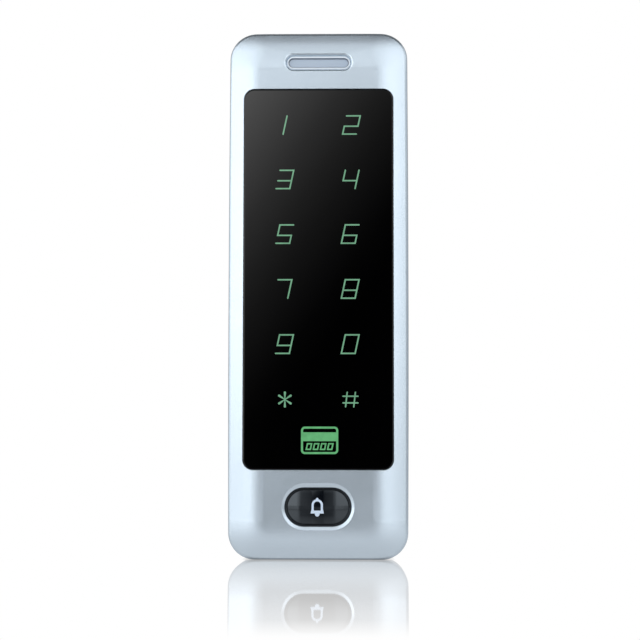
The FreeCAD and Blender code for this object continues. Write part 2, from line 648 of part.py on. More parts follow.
def dome_section(sketch):
    """Waste above the dome along the cap, with the axis that it turns about."""
    half, lift = "(dims.cap_width / 2 + 2)", "1.5"
    x_end, radius, apex = number(half), number("dims.cap_long_radius"), -number(CAP_TOP)
    turn = math.degrees(math.asin(x_end / radius))
    arc = add_arc(sketch, (0, apex + radius), radius, -90 - turn, turn - 90)
    y_end = apex + radius - math.sqrt(radius ** 2 - x_end ** 2)
    outer = apex - number(lift)
    corners = [(x_end, y_end), (x_end, outer), (-x_end, outer), (-x_end, y_end)]
    lines = [add_line(sketch, start, end) for start, end in zip(corners, corners[1:])]
    chain = [arc, *lines]
    for item, follower in zip(chain, lines + [arc]):
        relate(sketch, "Coincident", item, 2, follower, 1)
    for line, kind in zip(lines, ("Vertical", "Horizontal", "Vertical")):
        relate(sketch, kind, line)
    bind(sketch, "Radius", arc, to="dims.cap_long_radius")
    pin_point(sketch, arc, 3, "0", f"dims.cap_long_radius - {CAP_TOP}")
    pin_point(sketch, lines[1], 1, half, f"-{CAP_TOP} - {lift}")
    bind(sketch, "DistanceX", -1, 1, lines[1], 2, to=f"-{half}")
    middle = f"dims.cap_short_radius - {CAP_TOP}"
    axis = add_line(sketch, (-x_end, number(middle)), (x_end, number(middle)))
    sketch.setConstruction(axis, True)
    pin_point(sketch, axis, 1, f"-{half}", middle)
    pin_point(sketch, axis, 2, half, middle)


def dome_cap(body):
    """Carve the cap's dome; the symbol uses it too, so its face follows the cap."""
    revolve(body, dome_section, cutting=True, plane="XY_Plane", axis="Axis0")


def beside_centre(feature):
    """Move a symbol feature sideways to the symbol's place on the cap."""
    feature.Profile[0].setExpression("AttachmentOffset.Base.x", "dims.symbol_x")


def bell_shape(sketch):
    """Bell symbol: knob, arch and flared skirt in one outline."""
    arch, skirt, knob = 1.86, 2.2, 0.4
    shoulder, foot, base, knob_level = 0.7, -0.68, -2.12, 2.64
    join = math.degrees(math.acos(knob / arch))
    join_level = shoulder + arch * math.sin(math.radians(join))
    right = add_arc(sketch, (0, shoulder), arch, 0, join)
    left = add_arc(sketch, (0, shoulder), arch, 180 - join, 180)
    top = add_arc(sketch, (0, knob_level), knob, 0, 180)
    corners = [(-arch, shoulder), (-arch, foot), (-skirt, base), (skirt, base), (arch, foot), (arch, shoulder)]
    lines = [add_line(sketch, start, end) for start, end in zip(corners, corners[1:])]
    neck_right = add_line(sketch, (knob, join_level), (knob, knob_level))
    neck_left = add_line(sketch, (-knob, knob_level), (-knob, join_level))
    chain = [*lines, right, neck_right, top, neck_left, left]
    for item, follower in zip(chain, chain[1:] + chain[:1]):
        relate(sketch, "Coincident", item, 2, follower, 1)


def bell_opening(sketch):
    """Dark middle of the bell symbol."""
    half, shoulder, floor = 1.16, 0.68, -1.16
    arch = add_arc(sketch, (0, shoulder), half, 0, 180)
    corners = [(-half, shoulder), (-half, floor), (half, floor), (half, shoulder)]
    lines = [add_line(sketch, start, end) for start, end in zip(corners, corners[1:])]
    chain = [*lines, arch]
    for item, follower in zip(chain, chain[1:] + chain[:1]):
        relate(sketch, "Coincident", item, 2, follower, 1)


def bell_clapper(sketch):
    """Half-round clapper under the skirt."""
    half, top, middle = 0.76, -2.12, -2.35
    arc = add_arc(sketch, (0, middle), half, 180, 360)
    corners = [(half, middle), (half, top), (-half, top), (-half, middle)]
    lines = [add_line(sketch, start, end) for start, end in zip(corners, corners[1:])]
    chain = [*lines, arc]
    for item, follower in zip(chain, chain[1:] + chain[:1]):
        relate(sketch, "Coincident", item, 2, follower, 1)


def bell_button_cap():
    """Domed push cap with a collar, a stem and a pocket for the symbol."""
    body = new_body("bell_button_cap", z="dims.bell_z")
    collar_front = f"({CEILING} - 0.05)"
    collar_back = f"({CEILING} - 0.85)"
    add(body, collar_back, collar_front, stadium(
        "dims.cap_width + 2 * dims.cap_lip", "dims.cap_height + 2 * dims.cap_lip"))
    add(body, collar_front, CAP_TOP, CAP_OUTLINE)
    cut(body, collar_back, f"{CAP_TOP} - 1.6", stadium("dims.cap_width - 2.6", "dims.cap_height - 2.6"))
    add(body, f"{CEILING} - 0.15", f"{CAP_TOP} - 1.6", circle("2.0"))
    beside_centre(cut(body, SYMBOL_BACK, CAP_TOP, bell_shape))
    beside_centre(cut(body, SYMBOL_BACK, CAP_TOP, bell_clapper))
    beside_centre(add(body, SYMBOL_BACK, CAP_TOP, bell_opening))
    dome_cap(body)
    rim = between_levels("dims.bezel_level - 0.5", f"{CAP_TOP} - 0.25")
    pocket_floor = at_level(number(SYMBOL_BACK))
    round_edges(body, "Fillet", "dims.cap_edge_radius", lambda edge: rim(edge) and not pocket_floor(edge))


def bell_button_symbol():
    """White symbol moulded into the cap."""
    body = new_body("bell_button_symbol", z="dims.bell_z")
    beside_centre(add(body, SYMBOL_BACK, CAP_TOP, bell_shape))
    beside_centre(add(body, SYMBOL_BACK, CAP_TOP, bell_clapper))
    beside_centre(cut(body, SYMBOL_BACK, CAP_TOP, bell_opening))
    dome_cap(body)


def bell_button_seal():
    """Silicone membrane with a hollow boss between the cap's stem and the switch."""
    body = new_body("bell_button_seal", z="dims.bell_z")
    rim_front = f"({CEILING} - dims.bezel_flange)"
    floor = f"({rim_front} - 0.7)"
    add(body, floor, f"{rim_front} - 0.4", stadium(BEZEL_WIDTH, BEZEL_HEIGHT))
    add(body, f"{rim_front} - 0.4", rim_front,
        stadium(BEZEL_WIDTH, BEZEL_HEIGHT),
        stadium("dims.bell_hole_width", "dims.bell_hole_height + 0.2"))
    add(body, f"{rim_front} - 0.4", f"{CEILING} - 0.2", circle("3.0"))
    cut(body, floor, f"{PLUNGER_TOP} + 0.05", circle("2.3"))


# Levels of the bell switch above the main board.
SWITCH_TOP = f"({BOARD_FRONT} + 2.85)"
SWITCH_COVER_TOP = f"({BOARD_FRONT} + 3.15)"
SWITCH_FLOOR = f"({BOARD_FRONT} + 1.4)"
DOME_APEX = f"{BOARD_FRONT} + 1.72"
PLUNGER_TOP = f"{BOARD_FRONT} + 4.35"
PLUNGER_COLLAR_TOP = f"{BOARD_FRONT} + 2.5"


def bell_switch_body():
    """Moulded base of the tact switch with its four legs."""
    body = new_body("bell_switch_body", z="dims.bell_z")
    add(body, BOARD_FRONT, SWITCH_TOP, rectangle("6", "6"))
    legs = [rectangle("1.4", "0.7", x, z) for x in ("-3.6", "3.6") for z in ("-2.2", "2.2")]
    add(body, BOARD_FRONT, f"{BOARD_FRONT} + 0.3", *legs)
    cut(body, SWITCH_FLOOR, SWITCH_TOP, circle("2.3"))


def bell_switch_cover():
    """Steel cover plate, folded down at two sides."""
    body = new_body("bell_switch_cover", z="dims.bell_z")
    add(body, SWITCH_TOP, SWITCH_COVER_TOP, rectangle("6.4", "6"), circle("1.85"))
    tabs = [rectangle("0.2", "3", x) for x in ("-3.1", "3.1")]
    add(body, f"{BOARD_FRONT} + 0.8", SWITCH_TOP, *tabs)


def bell_switch_dome():
    """Thin spring disc that clicks."""
    body = new_body("bell_switch_dome", z="dims.bell_z")
    revolve(body, polygon(
        (f"-{BOARD_FRONT} - 1.60", "0"), (f"-{BOARD_FRONT} - 1.40", "2.1"),
        (f"-{BOARD_FRONT} - 1.52", "2.1"), (f"-({DOME_APEX})", "0")))


def bell_switch_plunger():
    """Round actuator with a collar under the steel cover."""
    body = new_body("bell_switch_plunger", z="dims.bell_z")
    revolve(body, polygon(
        (f"-({DOME_APEX})", "0"), (f"-({DOME_APEX})", "2.1"),
        (f"-({PLUNGER_COLLAR_TOP})", "2.1"), (f"-({PLUNGER_COLLAR_TOP})", "1.7"),
        (f"-({PLUNGER_TOP})", "1.7"), (f"-({PLUNGER_TOP})", "0")))


# Packages on the back of the main board: label, x, z, width, height, thickness,
# leads on each side and their pitch.
CHIPS = [
    ("microcontroller", 3.0, 47.0, 10.0, 9.0, 1.4, 11, 0.8),
    ("reader_chip", -14.0, -6.0, 10.0, 4.0, 1.5, 8, 1.27),
    ("touch_controller", 13.0, -12.0, 10.2, 5.3, 1.7, 12, 0.8),
    ("memory_chip", -14.0, 46.0, 4.9, 3.9, 1.5, 4, 1.27),
    ("voltage_regulator", 15.0, 24.0, 4.9, 3.9, 1.6, 4, 1.27),
    ("audio_driver", -16.0, -34.0, 4.9, 3.9, 1.5, 4, 1.27),
]


def chip(label, x, z, width, height, thickness, leads, pitch):
    """Moulded package with a row of leads on each long side."""
    body = new_body(label, str(x), str(z))
    add(body, f"{BOARD_BACK} - {thickness} - 0.1", f"{BOARD_BACK} - 0.1", rectangle(str(width), str(height)))
    first = str(-pitch * (leads - 1) / 2)
    lead = add(body, f"{BOARD_BACK} - 0.3", BOARD_BACK,
               rectangle("0.4", "1.2", first, f"{height} / 2 + 0.4"),
               rectangle("0.4", "1.2", first, f"-{height} / 2 - 0.4"))
    repeat_along(body, lead, leads, pitch)


def rear_block(label, places, width, height, thickness):
    """Plain rectangular components on the back of the main board."""
    body = new_body(label)
    add(body, f"{BOARD_BACK} - {thickness}", BOARD_BACK,
        *[rectangle(str(width), str(height), str(x), str(z)) for x, z in places])
    return body


def relay():
    """Low door-lock relay with a chamfered lid."""
    thickness = 4.9
    body = rear_block("relay", [(15.0, -36.0)], 9.8, 15.0, thickness)
    round_edges(body, "Chamfer", "0.4", at_level(number(f"{BOARD_BACK} - {thickness}")))


def inductor():
    thickness = 2.8
    body = rear_block("inductor", [(15.0, 35.0)], 6.0, 6.0, thickness)
    round_edges(body, "Fillet", "0.8", lambda edge: abs(edge.BoundBox.YLength - thickness) < 1e-4)


def crystal():
    """Metal can of the clock crystal, round at both ends."""
    body = new_body("crystal", "-3.0", "35.0")
    back = f"{BOARD_BACK} - 3.2"
    add(body, back, BOARD_BACK, stadium("10.2", "3.8"))
    round_edges(body, "Fillet", "0.5", at_level(number(back)))


def smd_passives():
    """Rows of small resistors and capacitors beside the chips."""
    body = new_body("smd_passives")
    for x, z in ((-21.0, 55.5), (-6.0, 55.5), (-22.0, -13.5), (6.0, -18.5)):
        part = add(body, f"{BOARD_BACK} - 0.6", BOARD_BACK, rectangle("1.0", "1.8", str(x), str(z)))
        repeat_along(body, part, 6, 2.4)


def buzzer():
    """Round sounder with its sound hole."""
    body = new_body("buzzer", "-14.5", "-49.0")
    back = f"{BOARD_BACK} - 4.8"
    add(body, back, BOARD_BACK, circle("6.0"))
    cut(body, back, f"{back} + 1.4", circle("1.1"))
    round_edges(body, "Fillet", "0.4", at_level(number(back)))


def electrolytic_capacitors():
    """Two aluminium cans on moulded feet."""
    body = new_body("electrolytic_capacitors")
    places = [("-18.5", "24"), ("-18.5", "33")]
    foot, back = f"{BOARD_BACK} - 0.8", f"{BOARD_BACK} - 5.1"
    add(body, foot, BOARD_BACK, *[rectangle("6.6", "6.6", x, z) for x, z in places])
    add(body, back, foot, *[circle("3.1", x, z) for x, z in places])
    round_edges(body, "Fillet", "0.4", at_level(number(back)))


def cable_connector():
    """Shrouded plug-in connector with a row of pins."""
    body = new_body("cable_connector", z="3.0")
    mouth, floor = f"{BOARD_BACK} - 5.0", f"{BOARD_BACK} - 0.8"
    pins, pitch = 10, 2.5
    add(body, mouth, BOARD_BACK, rectangle("27.5", "5.6"))
    cut(body, mouth, floor, rectangle("26.1", "4.2"))
    pin = add(body, f"{mouth} + 0.6", floor, rectangle("0.64", "0.64", str(-pitch * (pins - 1) / 2)))
    repeat_along(body, pin, pins, pitch)


TAMPER_PLACE = ("15", "62")


def tamper_sensor():
    """Light sensor that notices when the reader leaves its bracket."""
    body = new_body("tamper_sensor", *TAMPER_PLACE)
    back = f"{BOARD_BACK} - 2.2"
    add(body, back, BOARD_BACK, circle("2.5"))
    round_edges(body, "Fillet", "0.3", at_level(number(back)))


def tamper_window():
    """Clear plug in the rear cover in line with the light sensor."""
    body = new_body("tamper_window", *TAMPER_PLACE)
    add(body, COVER_BACK, COVER_FRONT, circle("2.5"))
    add(body, COVER_FRONT, f"{COVER_FRONT} + 0.7", circle("3.4"))


def cross(arm, half, x, z):
    """Outline of a cross recess."""
    steps = [(arm, half), (half, half), (half, arm), (-half, arm), (-half, half), (-arm, half),
             (-arm, -half), (-half, -half), (-half, -arm), (half, -arm), (half, -half), (arm, -half)]
    return polygon(*[(f"{x} + {dx}", f"{z} + {dz}") for dx, dz in steps])


def screw_group(label, places, head_back, head_front, head_radius, shank_radius, shank_front):
    """Four identical screws that point away from the wall."""
    body = new_body(label)
    add(body, head_back, head_front, *[circle(head_radius, x, z) for x, z in places])
    add(body, head_front, shank_front, *[circle(shank_radius, x, z) for x, z in places])
    cut(body, head_back, f"{head_back} + 0.6", *[cross(1.0, 0.22, x, z) for x, z in places])
    round_edges(body, "Fillet", "0.15", lambda edge: at_level(number(head_back))(edge) and edge.Closed)


def board_screws():
    head, shank, head_height, reach = "1.7", "0.85", "1.2", "4"
    screw_group("board_screws", PILLARS, f"({BOARD_BACK} - {head_height})", BOARD_BACK, head, shank,
                f"({BOARD_FRONT} + {reach})")


def cover_screws():
    head, shank, head_height, reach = "2.1", "1.0", "1.1", "8"
    screw_group("cover_screws", BOSSES, COVER_BACK, f"({COVER_BACK} + {head_height})", head, shank,
                f"({COVER_FRONT} + {reach})")


def cover_gasket():
    body = new_body("cover_gasket")
    rim, side = "2 * (dims.rim_wall + dims.gasket_inset)", "2 * (dims.side_wall - dims.gasket_inset)"
    outer = rounded(f"dims.housing_width - {rim}", f"dims.housing_height - {rim}",
                    "dims.corner_radius - dims.rim_wall - dims.gasket_inset")
    inner = rounded(f"dims.housing_width - {side}", f"dims.housing_height - {side}",
                    "dims.cavity_radius + dims.gasket_inset")
    add(body, COVER_FRONT, "dims.rim_depth", outer, inner)


HOOK_X = ("9", "19")


def both_sides(body, outline):
    """Pad an outline on the YZ plane over the hook width, right and left."""
    low, high = HOOK_X
    add(body, low, high, outline, plane="YZ_Plane")
    add(body, f"-{high}", f"-{low}", outline, plane="YZ_Plane")


def rear_cover():
    """Moulded cover with hanging lugs, screw holes, the grommet hole and the sensor window."""
    body = new_body("rear_cover")
    gap = "2 * dims.rim_wall - 2 * dims.fit_gap"
    add(body, COVER_BACK, COVER_FRONT,
        rounded(f"dims.housing_width - {gap}", f"dims.housing_height - {gap}", "dims.corner_radius - dims.rim_wall"),
        circle("dims.grommet_groove", "0", "dims.cable_z"), circle("2.55", *TAMPER_PLACE),
        *[circle("1.15", x, z) for x, z in BOSSES])
    cut(body, COVER_BACK, f"{COVER_BACK} + 1.1", *[circle("2.2", x, z) for x, z in BOSSES])
    lug = polygon(
        (f"-{COVER_BACK}", "75.4"), (f"-{COVER_BACK}", "73.9"), ("-2.7", "73.9"), ("-2.7", "70.4"),
        ("-1.7", "70.4"), ("-1.7", "75.4"))
    both_sides(body, lug)


def cable_grommet():
    """Rubber bush that grips the edge of the rear cover; its bore takes the cable."""
    body = new_body("cable_grommet", z="dims.cable_z")
    revolve(body, polygon(
        ("-3.0", "dims.cable_radius"), ("-8.0", "dims.cable_radius"), ("-8.0", "5.0"),
        ("-7.0", "dims.grommet_radius"), (f"-{COVER_FRONT}", "dims.grommet_radius"),
        (f"-{COVER_FRONT}", "dims.grommet_groove"), (f"-{COVER_BACK}", "dims.grommet_groove"),
        (f"-{COVER_BACK}", "dims.grommet_radius"), ("-3.4", "dims.grommet_radius"),
        ("-3.0", "dims.grommet_radius - 0.4")))


def wall_bracket():
    """Stainless plate with two wall holes, the cable window and two bent hooks."""
    body = new_body("wall_bracket")
    hook_windows = [rectangle("10.6", "6.2", x, "72.9") for x in ("-14", "14")]
    add(body, "0", BRACKET_FRONT,
        rounded("dims.bracket_width", "dims.bracket_height", "dims.corner_radius - 2"),
        circle("dims.wall_hole_radius", "0", "dims.wall_hole_pitch / 2"),
        circle("dims.wall_hole_radius", "0", "-dims.wall_hole_pitch / 2"),
        rounded("24", "36", "3", "0", "dims.cable_z"), *hook_windows)
    both_sides(body, polygon(
        (f"-{BRACKET_FRONT}", "68.3"), ("-3.9", "68.3"), ("-3.9", "73.4"), ("-2.9", "73.4"),
        ("-2.9", "69.8"), (f"-{BRACKET_FRONT}", "69.8")))


def bracket_lug():
    """Threaded block pressed into the bracket for the screw in the bottom end."""
    body = new_body("bracket_lug")
    add(body, BRACKET_FRONT, "4.2", rectangle("9", "4", "0", "-82.5"))
    cut(body, "-85", "-80", circle("1.0", "0", "-dims.lock_screw_level"), plane="XY_Plane")


def security_screw():
    """Countersunk screw that locks the reader to its bracket."""
    body = new_body("security_screw")
    revolve(body, polygon(
        ("0", BOTTOM_END), ("2.25", BOTTOM_END), ("2.25", f"{BOTTOM_END} + 0.1"),
        ("0.95", f"{BOTTOM_END} + 1.4"), ("0.95", "-79.2"), ("0", "-79.2")),
        plane="XZ_Plane", level="dims.lock_screw_level", axis="V_Axis")
    corners = [(0.75 * math.cos(math.radians(60 * i)), 0.75 * math.sin(math.radians(60 * i))) for i in range(6)]
    socket = polygon(*[(str(x), f"-dims.lock_screw_level + {y}") for x, y in corners])
    cut(body, BOTTOM_END, f"{BOTTOM_END} + 0.9", socket, plane="XY_Plane")


def build():
    """Make every piece."""
    makers = [
        front_housing, touch_panel, panel_tape, legend_film, touch_board, light_box, board_header, main_board,
        backlight_leds, status_leds, antenna_coil, indicator_lens, indicator_diffuser, bell_button_bezel,
        bell_button_cap, bell_button_symbol, bell_button_seal, bell_switch_body, bell_switch_cover,
        bell_switch_dome, bell_switch_plunger, relay, inductor, crystal, smd_passives, buzzer,
        electrolytic_capacitors, cable_connector, tamper_sensor, tamper_window, board_screws, cover_screws,
        cover_gasket, rear_cover, cable_grommet, wall_bracket, bracket_lug, security_screw,
    ]
    for make in makers:
        make()
    for row in CHIPS:
        chip(*row)
    rear_block("protection_diodes", [(-4.0, 15.5), (2.5, 15.5), (9.0, 15.5)], 4.3, 3.6, 2.2)
    DOC.recompute()


def export():
    """Check every object, then write each piece to its own file."""
    for item in DOC.Objects:
        if "Invalid" in item.State or "Error" in item.State:
            raise RuntimeError(f"{item.Label} did not build: {item.State} {item.getStatusString()}")
    os.makedirs("parts", exist_ok=True)
    for body in DOC.findObjects("PartDesign::Body"):
        if body.Shape.isNull() or not body.Shape.isValid():
            raise RuntimeError(f"{body.Label} has no valid shape")
        body.Shape.exportStep(f"parts/{body.Label}.step")
        print(f"{body.Label:26s} solids {len(body.Shape.Solids):3d}  volume {body.Shape.Volume:10.2f} mm3")


build()
export()
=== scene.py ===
"""Looks of the keypad access reader.

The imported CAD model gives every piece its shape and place.  This script adds the backlit
legends on the glass, a procedural material for every piece, and a plain pale studio.
Lengths are metres; +X is right seen from the front, +Z is up and the front faces -Y.
"""

import math

import bmesh
import bpy
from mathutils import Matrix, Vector


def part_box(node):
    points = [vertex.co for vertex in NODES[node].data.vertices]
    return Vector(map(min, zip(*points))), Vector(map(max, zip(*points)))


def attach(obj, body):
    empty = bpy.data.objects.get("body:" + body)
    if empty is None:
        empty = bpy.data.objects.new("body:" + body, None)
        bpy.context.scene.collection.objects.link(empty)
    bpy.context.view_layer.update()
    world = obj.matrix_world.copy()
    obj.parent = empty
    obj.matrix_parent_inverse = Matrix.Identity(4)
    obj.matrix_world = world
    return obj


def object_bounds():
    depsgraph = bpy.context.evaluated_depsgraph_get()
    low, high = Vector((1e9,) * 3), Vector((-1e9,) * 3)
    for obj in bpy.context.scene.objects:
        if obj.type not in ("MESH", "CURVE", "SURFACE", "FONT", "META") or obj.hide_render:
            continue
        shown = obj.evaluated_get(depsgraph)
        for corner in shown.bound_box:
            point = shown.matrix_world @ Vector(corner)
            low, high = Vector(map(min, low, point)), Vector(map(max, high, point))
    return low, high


MM = 0.001
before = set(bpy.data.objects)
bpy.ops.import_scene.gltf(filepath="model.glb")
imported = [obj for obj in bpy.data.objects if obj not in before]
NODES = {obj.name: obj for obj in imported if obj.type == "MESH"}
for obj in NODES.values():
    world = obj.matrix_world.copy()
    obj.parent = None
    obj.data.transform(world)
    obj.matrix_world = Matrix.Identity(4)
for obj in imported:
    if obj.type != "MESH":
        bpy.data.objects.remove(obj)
cad_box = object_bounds()


# ---------------------------------------------------------------- node helpers

BEVEL_SAMPLES = 6


class Graph:
    """Short calls for the shader nodes of one node tree."""

    def __init__(self, tree):
        self.nodes = tree.nodes
        self.links = tree.links

    def compute(self, operation, first, second=0.0):
        """Output of a math node; each operand is a number or another node's output."""
        node = self.nodes.new("ShaderNodeMath")
        node.operation = operation
        for socket, value in zip(node.inputs, (first, second)):
            if isinstance(value, (int, float)):
                socket.default_value = value
            else:
                self.links.new(value, socket)
        return node.outputs["Value"]

    def axes(self, vector):
        """The X, Y and Z outputs of a vector."""
        node = self.nodes.new("ShaderNodeSeparateXYZ")
        self.links.new(vector, node.inputs["Vector"])
        return node.outputs["X"], node.outputs["Y"], node.outputs["Z"]

    def remap(self, value, low, high, from_low=0.3, from_high=0.7):
        """Bring from_low..from_high to low..high; a noise texture mostly stays in 0.3..0.7."""
        span = self.nodes.new("ShaderNodeMapRange")
        span.inputs["From Min"].default_value = from_low
        span.inputs["From Max"].default_value = from_high
        span.inputs["To Min"].default_value = low
        span.inputs["To Max"].default_value = high
        self.links.new(value, span.inputs["Value"])
        return span.outputs["Result"]

    def ramp(self, value, stops):
        """Piecewise linear curve through (position, level) stops, flat beyond both ends."""
        low, high = stops[0][0], stops[-1][0]
        top = max(level for _, level in stops)
        curve = self.nodes.new("ShaderNodeValToRGB")
        self.links.new(self.remap(value, 0.0, 1.0, low, high), curve.inputs["Fac"])
        elements = curve.color_ramp.elements
        elements.remove(elements[1])
        for index, (position, level) in enumerate(stops):
            share = (position - low) / (high - low)
            element = elements[0] if index == 0 else elements.new(share)
            element.position = share
            element.color = (level / top, level / top, level / top, 1)
        return self.compute("MULTIPLY", curve.outputs["Color"], top)

    def glow(self, strength):
        """White light of a strength that varies over the surface."""
        node = self.nodes.new("ShaderNodeEmission")
        self.links.new(strength, node.inputs["Strength"])
        return node.outputs["Emission"]


class Surface(Graph):
    """A piece's material, with short calls for the textures that the pieces share."""

    def __init__(self, name, colour, roughness, metallic=0.0):
        self.material = bpy.data.materials.new(name)
        self.material.use_nodes = True
        super().__init__(self.material.node_tree)
        self.shader = self.nodes["Principled BSDF"]
        self.colour = (*colour, 1.0)
        self.roughness = roughness
        self.shader.inputs["Base Color"].default_value = self.colour
        self.shader.inputs["Roughness"].default_value = roughness
        self.shader.inputs["Metallic"].default_value = metallic
        self.place = self.nodes.new("ShaderNodeTexCoord").outputs["Object"]
        self.height = None

    def set(self, **values):
        """Set shader sockets by name, with underscores for spaces."""
        for name, value in values.items():
            self.shader.inputs[name.replace("_", " ")].default_value = value

    def stretched(self, along):
        """Texture coordinates scaled unevenly, for brushed metal."""
        mapping = self.nodes.new("ShaderNodeMapping")
        mapping.inputs["Scale"].default_value = along
        self.links.new(self.place, mapping.inputs["Vector"])
        return mapping.outputs["Vector"]

    def noise(self, size, detail=2.0, along=None):
        """Noise whose features are about size metres across."""
        texture = self.nodes.new("ShaderNodeTexNoise")
        texture.inputs["Scale"].default_value = 1.0 / size
        texture.inputs["Detail"].default_value = detail
        self.links.new(self.stretched(along) if along else self.place, texture.inputs["Vector"])
        return texture.outputs["Fac"]

    def cells(self, size):
        """Random value per small cell, for metal flakes."""
        texture = self.nodes.new("ShaderNodeTexVoronoi")
        texture.inputs["Scale"].default_value = 1.0 / size
        self.links.new(self.place, texture.inputs["Vector"])
        separate = self.nodes.new("ShaderNodeSeparateColor")
        self.links.new(texture.outputs["Color"], separate.inputs["Color"])
        return separate.outputs["Red"]

    def vary_roughness(self, value, spread):
        """Let the roughness follow a value, by spread either way."""
        self.links.new(self.remap(value, self.roughness - spread, self.roughness + spread),
                       self.shader.inputs["Roughness"])

    def tint(self, value, other, from_low=0.3, from_high=0.7):
        """Blend the base colour towards another colour where value is high."""
        mix = self.nodes.new("ShaderNodeMix")
        mix.data_type = "RGBA"
        before = self.shader.inputs["Base Color"].links
        if before:
            self.links.new(before[0].from_socket, mix.inputs["A"])
        else:
            mix.inputs["A"].default_value = self.colour
        mix.inputs["B"].default_value = (*other, 1.0)
        self.links.new(self.remap(value, 0.0, 1.0, from_low, from_high), mix.inputs["Factor"])
        self.links.new(mix.outputs["Result"], self.shader.inputs["Base Color"])

    def bump(self, value, depth, strength=1.0):
        """Raise the surface by depth metres where value is high; bumps add up."""
        node = self.nodes.new("ShaderNodeBump")
        node.inputs["Strength"].default_value = strength
        node.inputs["Distance"].default_value = depth
        self.links.new(value, node.inputs["Height"])
        if self.height:
            self.links.new(self.height, node.inputs["Normal"])
        self.height = node.outputs["Normal"]
        self.links.new(self.height, self.shader.inputs["Normal"])

    def distance_round(self, half_straight, height):
        """Distance from a level line of the given half length: even round a stadium outline."""
        x, _, z = self.axes(self.place)
        beyond = self.compute("SUBTRACT", self.compute("ABSOLUTE", x), half_straight)
        beyond = self.compute("MAXIMUM", beyond, 0.0)
        above = self.compute("SUBTRACT", z, height)
        squares = [self.compute("MULTIPLY", side, side) for side in (beyond, above)]
        return self.compute("SQRT", self.compute("ADD", *squares))

    def bevel(self, radius):
        """Soften the edges in the shading, as tumbled or moulded edges are."""
        node = self.nodes.new("ShaderNodeBevel")
        node.samples = BEVEL_SAMPLES
        node.inputs["Radius"].default_value = radius
        first = next((link.to_node for link in self.links if link.to_node.type == "BUMP"
                      and not link.to_node.inputs["Normal"].links), None)
        target = first.inputs["Normal"] if first else self.shader.inputs["Normal"]
        self.links.new(node.outputs["Normal"], target)


# ---------------------------------------------------------------- materials

GLASS_IOR = 1.52
ACRYLIC_IOR = 1.49
GLASS_ROUGHNESS = 0.035

# The indicator lens: height of its level centre line, half the length of that line, and the
# distance from the line to the edge of the sunk window.
LENS_CENTRE_Z = 77.65 * MM
LENS_HALF_STRAIGHT = 8.5 * MM
WINDOW_EDGE = 1.5 * MM
# Strength of the painted glow on the lens's outer ring.
RIM_PAINTED_GLOW = 0.12


def satin_silver():
    """Silver metallic lacquer over a die casting: fine flakes and a faint orange peel."""
    surface = Surface("satin_silver", (0.58, 0.685, 0.79), 0.25, metallic=0.76)
    surface.tint(surface.cells(0.12 * MM), (0.68, 0.78, 0.87), from_low=0.0, from_high=1.0)
    surface.vary_roughness(surface.noise(9 * MM, detail=3.0), spread=0.015)
    surface.bump(surface.cells(0.16 * MM), depth=0.0012 * MM, strength=0.5)
    surface.bump(surface.noise(1.4 * MM, detail=1.0), depth=0.004 * MM, strength=0.6)
    surface.bevel(0.12 * MM)
    return surface.material


def dark_glass():
    """Polished black-backed glass with the faintest wipe marks."""
    surface = Surface("dark_glass", (0.0004, 0.0004, 0.0005), GLASS_ROUGHNESS)
    surface.set(IOR=GLASS_IOR)
    surface.vary_roughness(surface.noise(22 * MM, detail=4.0), spread=0.012)
    surface.bevel(0.1 * MM)
    return surface.material


def gloss_black():
    """High-gloss black moulding with a trace of flow waviness."""
    surface = Surface("gloss_black", (0.005, 0.0065, 0.0095), 0.035)
    surface.set(IOR=1.62, Specular_Tint=(0.80, 0.91, 1.0, 1.0))
    surface.vary_roughness(surface.noise(5 * MM, detail=3.0), spread=0.01)
    surface.bump(surface.noise(3.5 * MM, detail=1.0), depth=0.002 * MM, strength=0.5)
    return surface.material


def legend_light(name, colour):
    """Backlit legend: light through a printed film, a little uneven."""
    surface = Surface(name, tuple(0.05 * c for c in colour), GLASS_ROUGHNESS)
    surface.set(Emission_Color=(*colour, 1.0), IOR=GLASS_IOR)
    strength = surface.remap(surface.noise(2.2 * MM), 0.86, 1.1)
    surface.links.new(strength, surface.shader.inputs["Emission Strength"])
    return surface.material


def symbol_white():
    """Pale blue moulding that takes a little light from behind."""
    surface = Surface("symbol_white", (0.62, 0.74, 0.90), 0.32)
    surface.set(Emission_Color=(0.62, 0.76, 0.95, 1.0), Emission_Strength=0.1)
    surface.vary_roughness(surface.noise(1.2 * MM), spread=0.06)
    return surface.material


def clear_plastic():
    """Clear acrylic moulding."""
    surface = Surface("clear_plastic", (0.66, 0.76, 0.88), 0.08)
    surface.set(Transmission_Weight=0.2, IOR=ACRYLIC_IOR)
    surface.vary_roughness(surface.noise(1.5 * MM), spread=0.03)
    return surface.material


